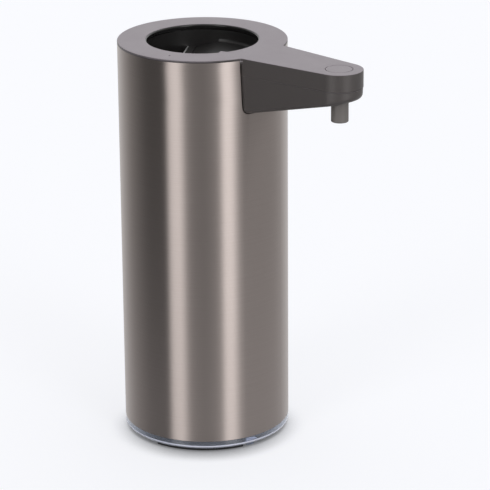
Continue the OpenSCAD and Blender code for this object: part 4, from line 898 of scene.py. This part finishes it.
def make_neck_bead():
    """The tank neck's rounded black rim, just inside the cover's mouth."""
    bm = bmesh.new()
    angles = [QUARTER * k / BEAD_STEPS for k in range(BEAD_STEPS + 1)]
    crown = [(MOUTH_R - BEAD_R * math.sin(a), BEAD_Z - BEAD_R * (1 - math.cos(a))) for a in angles]
    lathe(bm, BEAD_BACK + crown + BEAD_FOOT, count=MOUTH_SIDES)
    finish_mesh("neck_bead", bm, "housing", [], materials["neck_rim"])


def make_base_ring():
    """The clear base: a ring with rounded lower edge, its spigot in the shell and its lug."""
    bm = bmesh.new()
    plate_r, ring_r = plate_high[1] + PLATE_GAP, ring_high[1]
    z0, plate_z1, spigot_z1 = foot_high[2], plate_high[2], ring_high[2]
    spigot_ro = BODY_R - SHELL_T - SPIGOT_GAP
    spigot_ri = spigot_ro - SPIGOT_W
    profile = rounded([(plate_r, z0), (ring_r, z0), (ring_r, BASE_H), (spigot_ro, BASE_H),
                       (spigot_ro, spigot_z1), (spigot_ri, spigot_z1), (spigot_ri, BASE_H),
                       (RING_BORE_R, BASE_H), (RING_BORE_R, plate_z1), (plate_r, plate_z1)],
                      RING_ROUNDS, steps=8)
    lathe(bm, profile, count=RING_SIDES)
    c, s = math.cos(LUG_AZ), math.sin(LUG_AZ)
    corners = rounded(rectangle(LUG_X, (-LUG_HALF, LUG_HALF)), [LUG_ROUND] * 4, steps=3)
    rows = [add_loop(bm, [((x * c - y * s) * k, (x * s + y * c) * k, z) for x, y in corners])
            for z, k in LUG_ROWS]
    bridge(bm, rows)
    bm.faces.new(rows[0][::-1])
    bm.faces.new(rows[-1])
    finish_mesh("clear_ring", bm, "housing", ["base_ring"], materials["clear_base"])


def make_painted_base_line():
    """A pale line round the clear base: painted light, for the bright line that light makes in the clear
    plastic near its lower edge.
    """
    bm = bmesh.new()
    lathe(bm, rounded(rectangle(LINE_R, LINE_Z), LINE_ROUNDS, steps=4), count=RING_SIDES)
    finish_mesh("painted_base_line", bm, "housing", [], materials["frosted_line"])


def make_lug_face():
    """A pale face on the base's lug, seen through the clear ring: painted light, for the bright spot that
    light makes in the clear lug.
    """
    bm = bmesh.new()
    rows = [add_loop(bm, [(r * math.cos(LUG_AZ + a), r * math.sin(LUG_AZ + a), z) for a, z in LUG_FACE])
            for r in LUG_FACE_R]
    bridge(bm, rows)
    for row in rows:
        bm.faces.new(row)
    finish_mesh("lug_face", bm, "housing", [], materials["frosted_line"], bevel=0.05)


for make in (make_shell, make_cover, make_lower, make_button, make_nozzle, make_guard_edge, make_neck_bead,
             make_base_ring, make_painted_base_line, make_lug_face):
    make()
for name, cad_node, bevel in [
        ("guard", "filler_guard", 0.15), ("foot", "foot_pad", 0.3), ("floor_plate", "base_plate", 0.15),
        ("battery_door", "battery_cover", 0.2), ("door_screws", "base_screws", 0.1),
        ("arm_screws", "spout_screws", 0.1), ("sensor_lens", "sensor_window", 0.2),
        ("outlet_valve", "nozzle_valve", 0.05), ("light_lens", "status_led", 0.08)]:
    refine(name, cad_node, bevel)

# The button's spring, with a mesh of its own
press_spring = refine("press_spring", "button_spring")
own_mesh(press_spring)


# ---- camera ----

# The camera fitted to the photo: place in millimetres, turn, drop and roll, the picture's middle off the
# camera's axis, and the focal length in the photo's pixels
CAMERA_PLACE = (757.6, -835.6, 485.9)
CAMERA_TURN = math.radians(42.2)
CAMERA_DROP = 0.3366
CAMERA_ROLL = -0.0130
CAMERA_OFF = (0.015387, -0.003775)
FOCAL_PIXELS = 2614.9
PHOTO_PIXELS = 490
SENSOR_MM = 36.0
FAR_CLIP = 100.0


def make_camera():
    turn = Matrix.Rotation(CAMERA_TURN, 3, "Z")
    drop_c, drop_s = math.cos(CAMERA_DROP), math.sin(CAMERA_DROP)
    roll_c, roll_s = math.cos(CAMERA_ROLL), math.sin(CAMERA_ROLL)
    ahead, up, side = (turn @ Vector(way) for way in ((0, drop_c, -drop_s), (0, drop_s, drop_c), (1, 0, 0)))
    side, up = side * roll_c + up * roll_s, up * roll_c - side * roll_s
    axis = (ahead + CAMERA_OFF[0] * side + CAMERA_OFF[1] * up).normalized()
    right = axis.cross(up).normalized()
    up = right.cross(axis)
    data = bpy.data.cameras.new("camera")
    data.sensor_width = SENSOR_MM
    data.lens = FOCAL_PIXELS / PHOTO_PIXELS * SENSOR_MM
    data.clip_end = FAR_CLIP
    camera = bpy.data.objects.new("camera", data)
    place = Vector(CAMERA_PLACE) * MM
    camera.matrix_world = Matrix([(right[i], up[i], -axis[i], place[i]) for i in range(3)] + [(0, 0, 0, 1)])
    bpy.context.scene.collection.objects.link(camera)
    bpy.context.scene.camera = camera


make_camera()


# ---- studio ----

# The studio's front, which is the side that the photo was taken from, and the tone of white
FRONT_AZ = math.radians(-47.8)
WHITE = (0.956, 0.965, 0.999)

# Brightness of the studio's wall by direction, in degrees from its front, counterclockwise from above
WALL = [
    (-180, 0.95), (-150, 0.92), (-135, 0.76), (-115, 0.42), (-97, 0.25), (-84, 0.15), (-60, 0.14),
    (-53, 0.18), (-47, 2.25), (-34, 2.25), (-24, 0.6), (-14, 0.43), (0, 0.39), (12, 0.49), (21, 0.7),
    (28, 2.5), (38, 2.7), (47, 1.15), (53, 0.62), (75, 0.59), (110, 0.59), (125, 0.68), (140, 0.92),
    (160, 0.98), (180, 0.95),
]
WALL_PEAK = 3.0

# The wall goes over into an even ceiling, and gets darker below, between these elevations in degrees
CEILING = 1.0
CEILING_EL = (45.0, 68.0)
PIT = 0.4
PIT_EL = (-70.0, -25.0)

# Floor: rings in millimetres, the share of its white that real light makes, how much of it reflections
# miss, and the radii in millimetres between which they come to miss all of it
FLOOR_RINGS = (0.0, 200.0, 1000.0, 6000.0)
FLOOR_SHARE = 0.34
FLOOR_MIRROR = 0.68
FLOOR_FADE = (90.0, 330.0)

# Contact shadow: reach in millimetres, tilt away from the front, range of openness in which it fades, and
# its darkest value
CONTACT_REACH = 15.0
CONTACT_TILT = math.radians(50.0)
CONTACT_SHADE = (0.18, 0.88)
CONTACT_DARK = 0.12


def direct_rays(tree):
    """The kinds of ray, and a value that is 1 for rays from the camera, also through clear plastic."""
    rays = node(tree, "ShaderNodeLightPath").outputs
    return rays, math_node(tree, "MAXIMUM", rays["Is Camera Ray"], rays["Is Transmission Ray"])


def mix_shaders(tree, share, a, b):
    made = node(tree, "ShaderNodeMixShader")
    for target, value in zip(made.inputs, (share, a.outputs[0], b.outputs[0])):
        feed(tree, target, value)
    return made.outputs[0]


def make_world():
    """A studio of two tall bright panels, dimmer walls and an even ceiling, seen as plain white."""
    world = bpy.data.worlds.new("studio")
    bpy.context.scene.world = world
    world.use_nodes = True
    tree = world.node_tree
    tree.nodes.clear()
    x, y, z = split(tree, node(tree, "ShaderNodeTexCoord").outputs["Generated"])
    c, s = math.cos(FRONT_AZ), math.sin(FRONT_AZ)
    u = math_node(tree, "ADD", math_node(tree, "MULTIPLY", x, c), math_node(tree, "MULTIPLY", y, s))
    v = math_node(tree, "SUBTRACT", math_node(tree, "MULTIPLY", y, c), math_node(tree, "MULTIPLY", x, s))
    way = math_node(tree, "MULTIPLY_ADD", math_node(tree, "ARCTAN2", v, u), 1 / TURN, 0.5)
    ramp = node(tree, "ShaderNodeValToRGB")
    stops = ramp.color_ramp.elements
    stops.remove(stops[-1])
    for k, (degrees, value) in enumerate(WALL):
        stop = stops.new((degrees + 180) / 360) if k else stops[0]
        stop.color = (value / WALL_PEAK,) * 3 + (1,)
    feed_all(tree, ramp, Fac=way)
    wall = math_node(tree, "MULTIPLY", ramp.outputs["Color"], WALL_PEAK)
    height = math_node(tree, "ARCSINE", z)
    above_pit, in_ceiling = (between(tree, height, *(math.radians(el) for el in band))
                             for band in (PIT_EL, CEILING_EL))
    studio = math_node(tree, "MULTIPLY", wall, blend(tree, "FLOAT", PIT, 1.0, above_pit))
    studio = blend(tree, "FLOAT", studio, CEILING, in_ceiling)
    light, seen = (node(tree, "ShaderNodeBackground") for _ in range(2))
    feed_all(tree, light, Color=studio)
    feed_all(tree, seen, Color=WHITE)
    out = node(tree, "ShaderNodeOutputWorld")
    feed_all(tree, out, Surface=mix_shaders(tree, direct_rays(tree)[1], light, seen))


def light_on_floor():
    """The light that falls on open floor, as a share of white."""
    mean = sum((b[1] + a[1]) / 2 * (b[0] - a[0]) for a, b in zip(WALL, WALL[1:])) / 360
    steps = 90
    total = 0.0
    for k in range(steps):
        el = (k + 0.5) / steps * 90
        share = smoothstep(el, *CEILING_EL)
        weight = math.sin(2 * math.radians(el)) * math.radians(90 / steps)
        total += (mean * (1 - share) + CEILING * share) * weight
    return total


def make_floor():
    """A plain pale floor: it takes the object's shadow, and its own paleness makes up the rest of white."""
    material, tree = new_material("floor")
    tree.nodes.clear()
    rays, direct = direct_rays(tree)
    glossy = rays["Is Glossy Ray"]
    matt = node(tree, "ShaderNodeBsdfDiffuse")
    feed_all(tree, matt, Color=tuple(FLOOR_SHARE * c for c in WHITE))
    open_sky = node(tree, "ShaderNodeAmbientOcclusion", samples=16)
    behind = node(tree, "ShaderNodeCombineXYZ")
    level = math.sin(CONTACT_TILT)
    feed_all(tree, behind, X=-math.cos(FRONT_AZ) * level, Y=-math.sin(FRONT_AZ) * level,
             Z=math.cos(CONTACT_TILT))
    feed_all(tree, open_sky, Distance=CONTACT_REACH * MM, Normal=behind.outputs[0])
    contact = between(tree, open_sky.outputs["AO"], *CONTACT_SHADE)
    lit = math_node(tree, "MULTIPLY", math_node(tree, "MAXIMUM", direct, glossy),
                    blend(tree, "FLOAT", CONTACT_DARK, 1.0, contact))
    strength = math_node(tree, "MULTIPLY", lit, 1 - FLOOR_SHARE * light_on_floor())
    glow = node(tree, "ShaderNodeEmission")
    feed_all(tree, glow, Color=WHITE, Strength=strength)
    both = node(tree, "ShaderNodeAddShader")
    for target, shader in zip(both.inputs, (matt, glow)):
        feed(tree, target, shader.outputs[0])
    length = node(tree, "ShaderNodeVectorMath", operation="LENGTH")
    feed(tree, length.inputs[0], node(tree, "ShaderNodeNewGeometry").outputs["Position"])
    far = between(tree, length.outputs["Value"], *(radius * MM for radius in FLOOR_FADE))
    missed = math_node(tree, "MULTIPLY", blend(tree, "FLOAT", FLOOR_MIRROR, 1.0, far), glossy)
    out = node(tree, "ShaderNodeOutputMaterial")
    feed_all(tree, out, Surface=mix_shaders(tree, missed, both, node(tree, "ShaderNodeBsdfTransparent")))
    bm = bmesh.new()
    lathe(bm, [(r, 0.0) for r in FLOOR_RINGS], count=64, closed=False)
    floor = new_object("floor", bm, material)


make_world()
make_floor()
bpy.context.scene.view_settings.view_transform = "Standard"
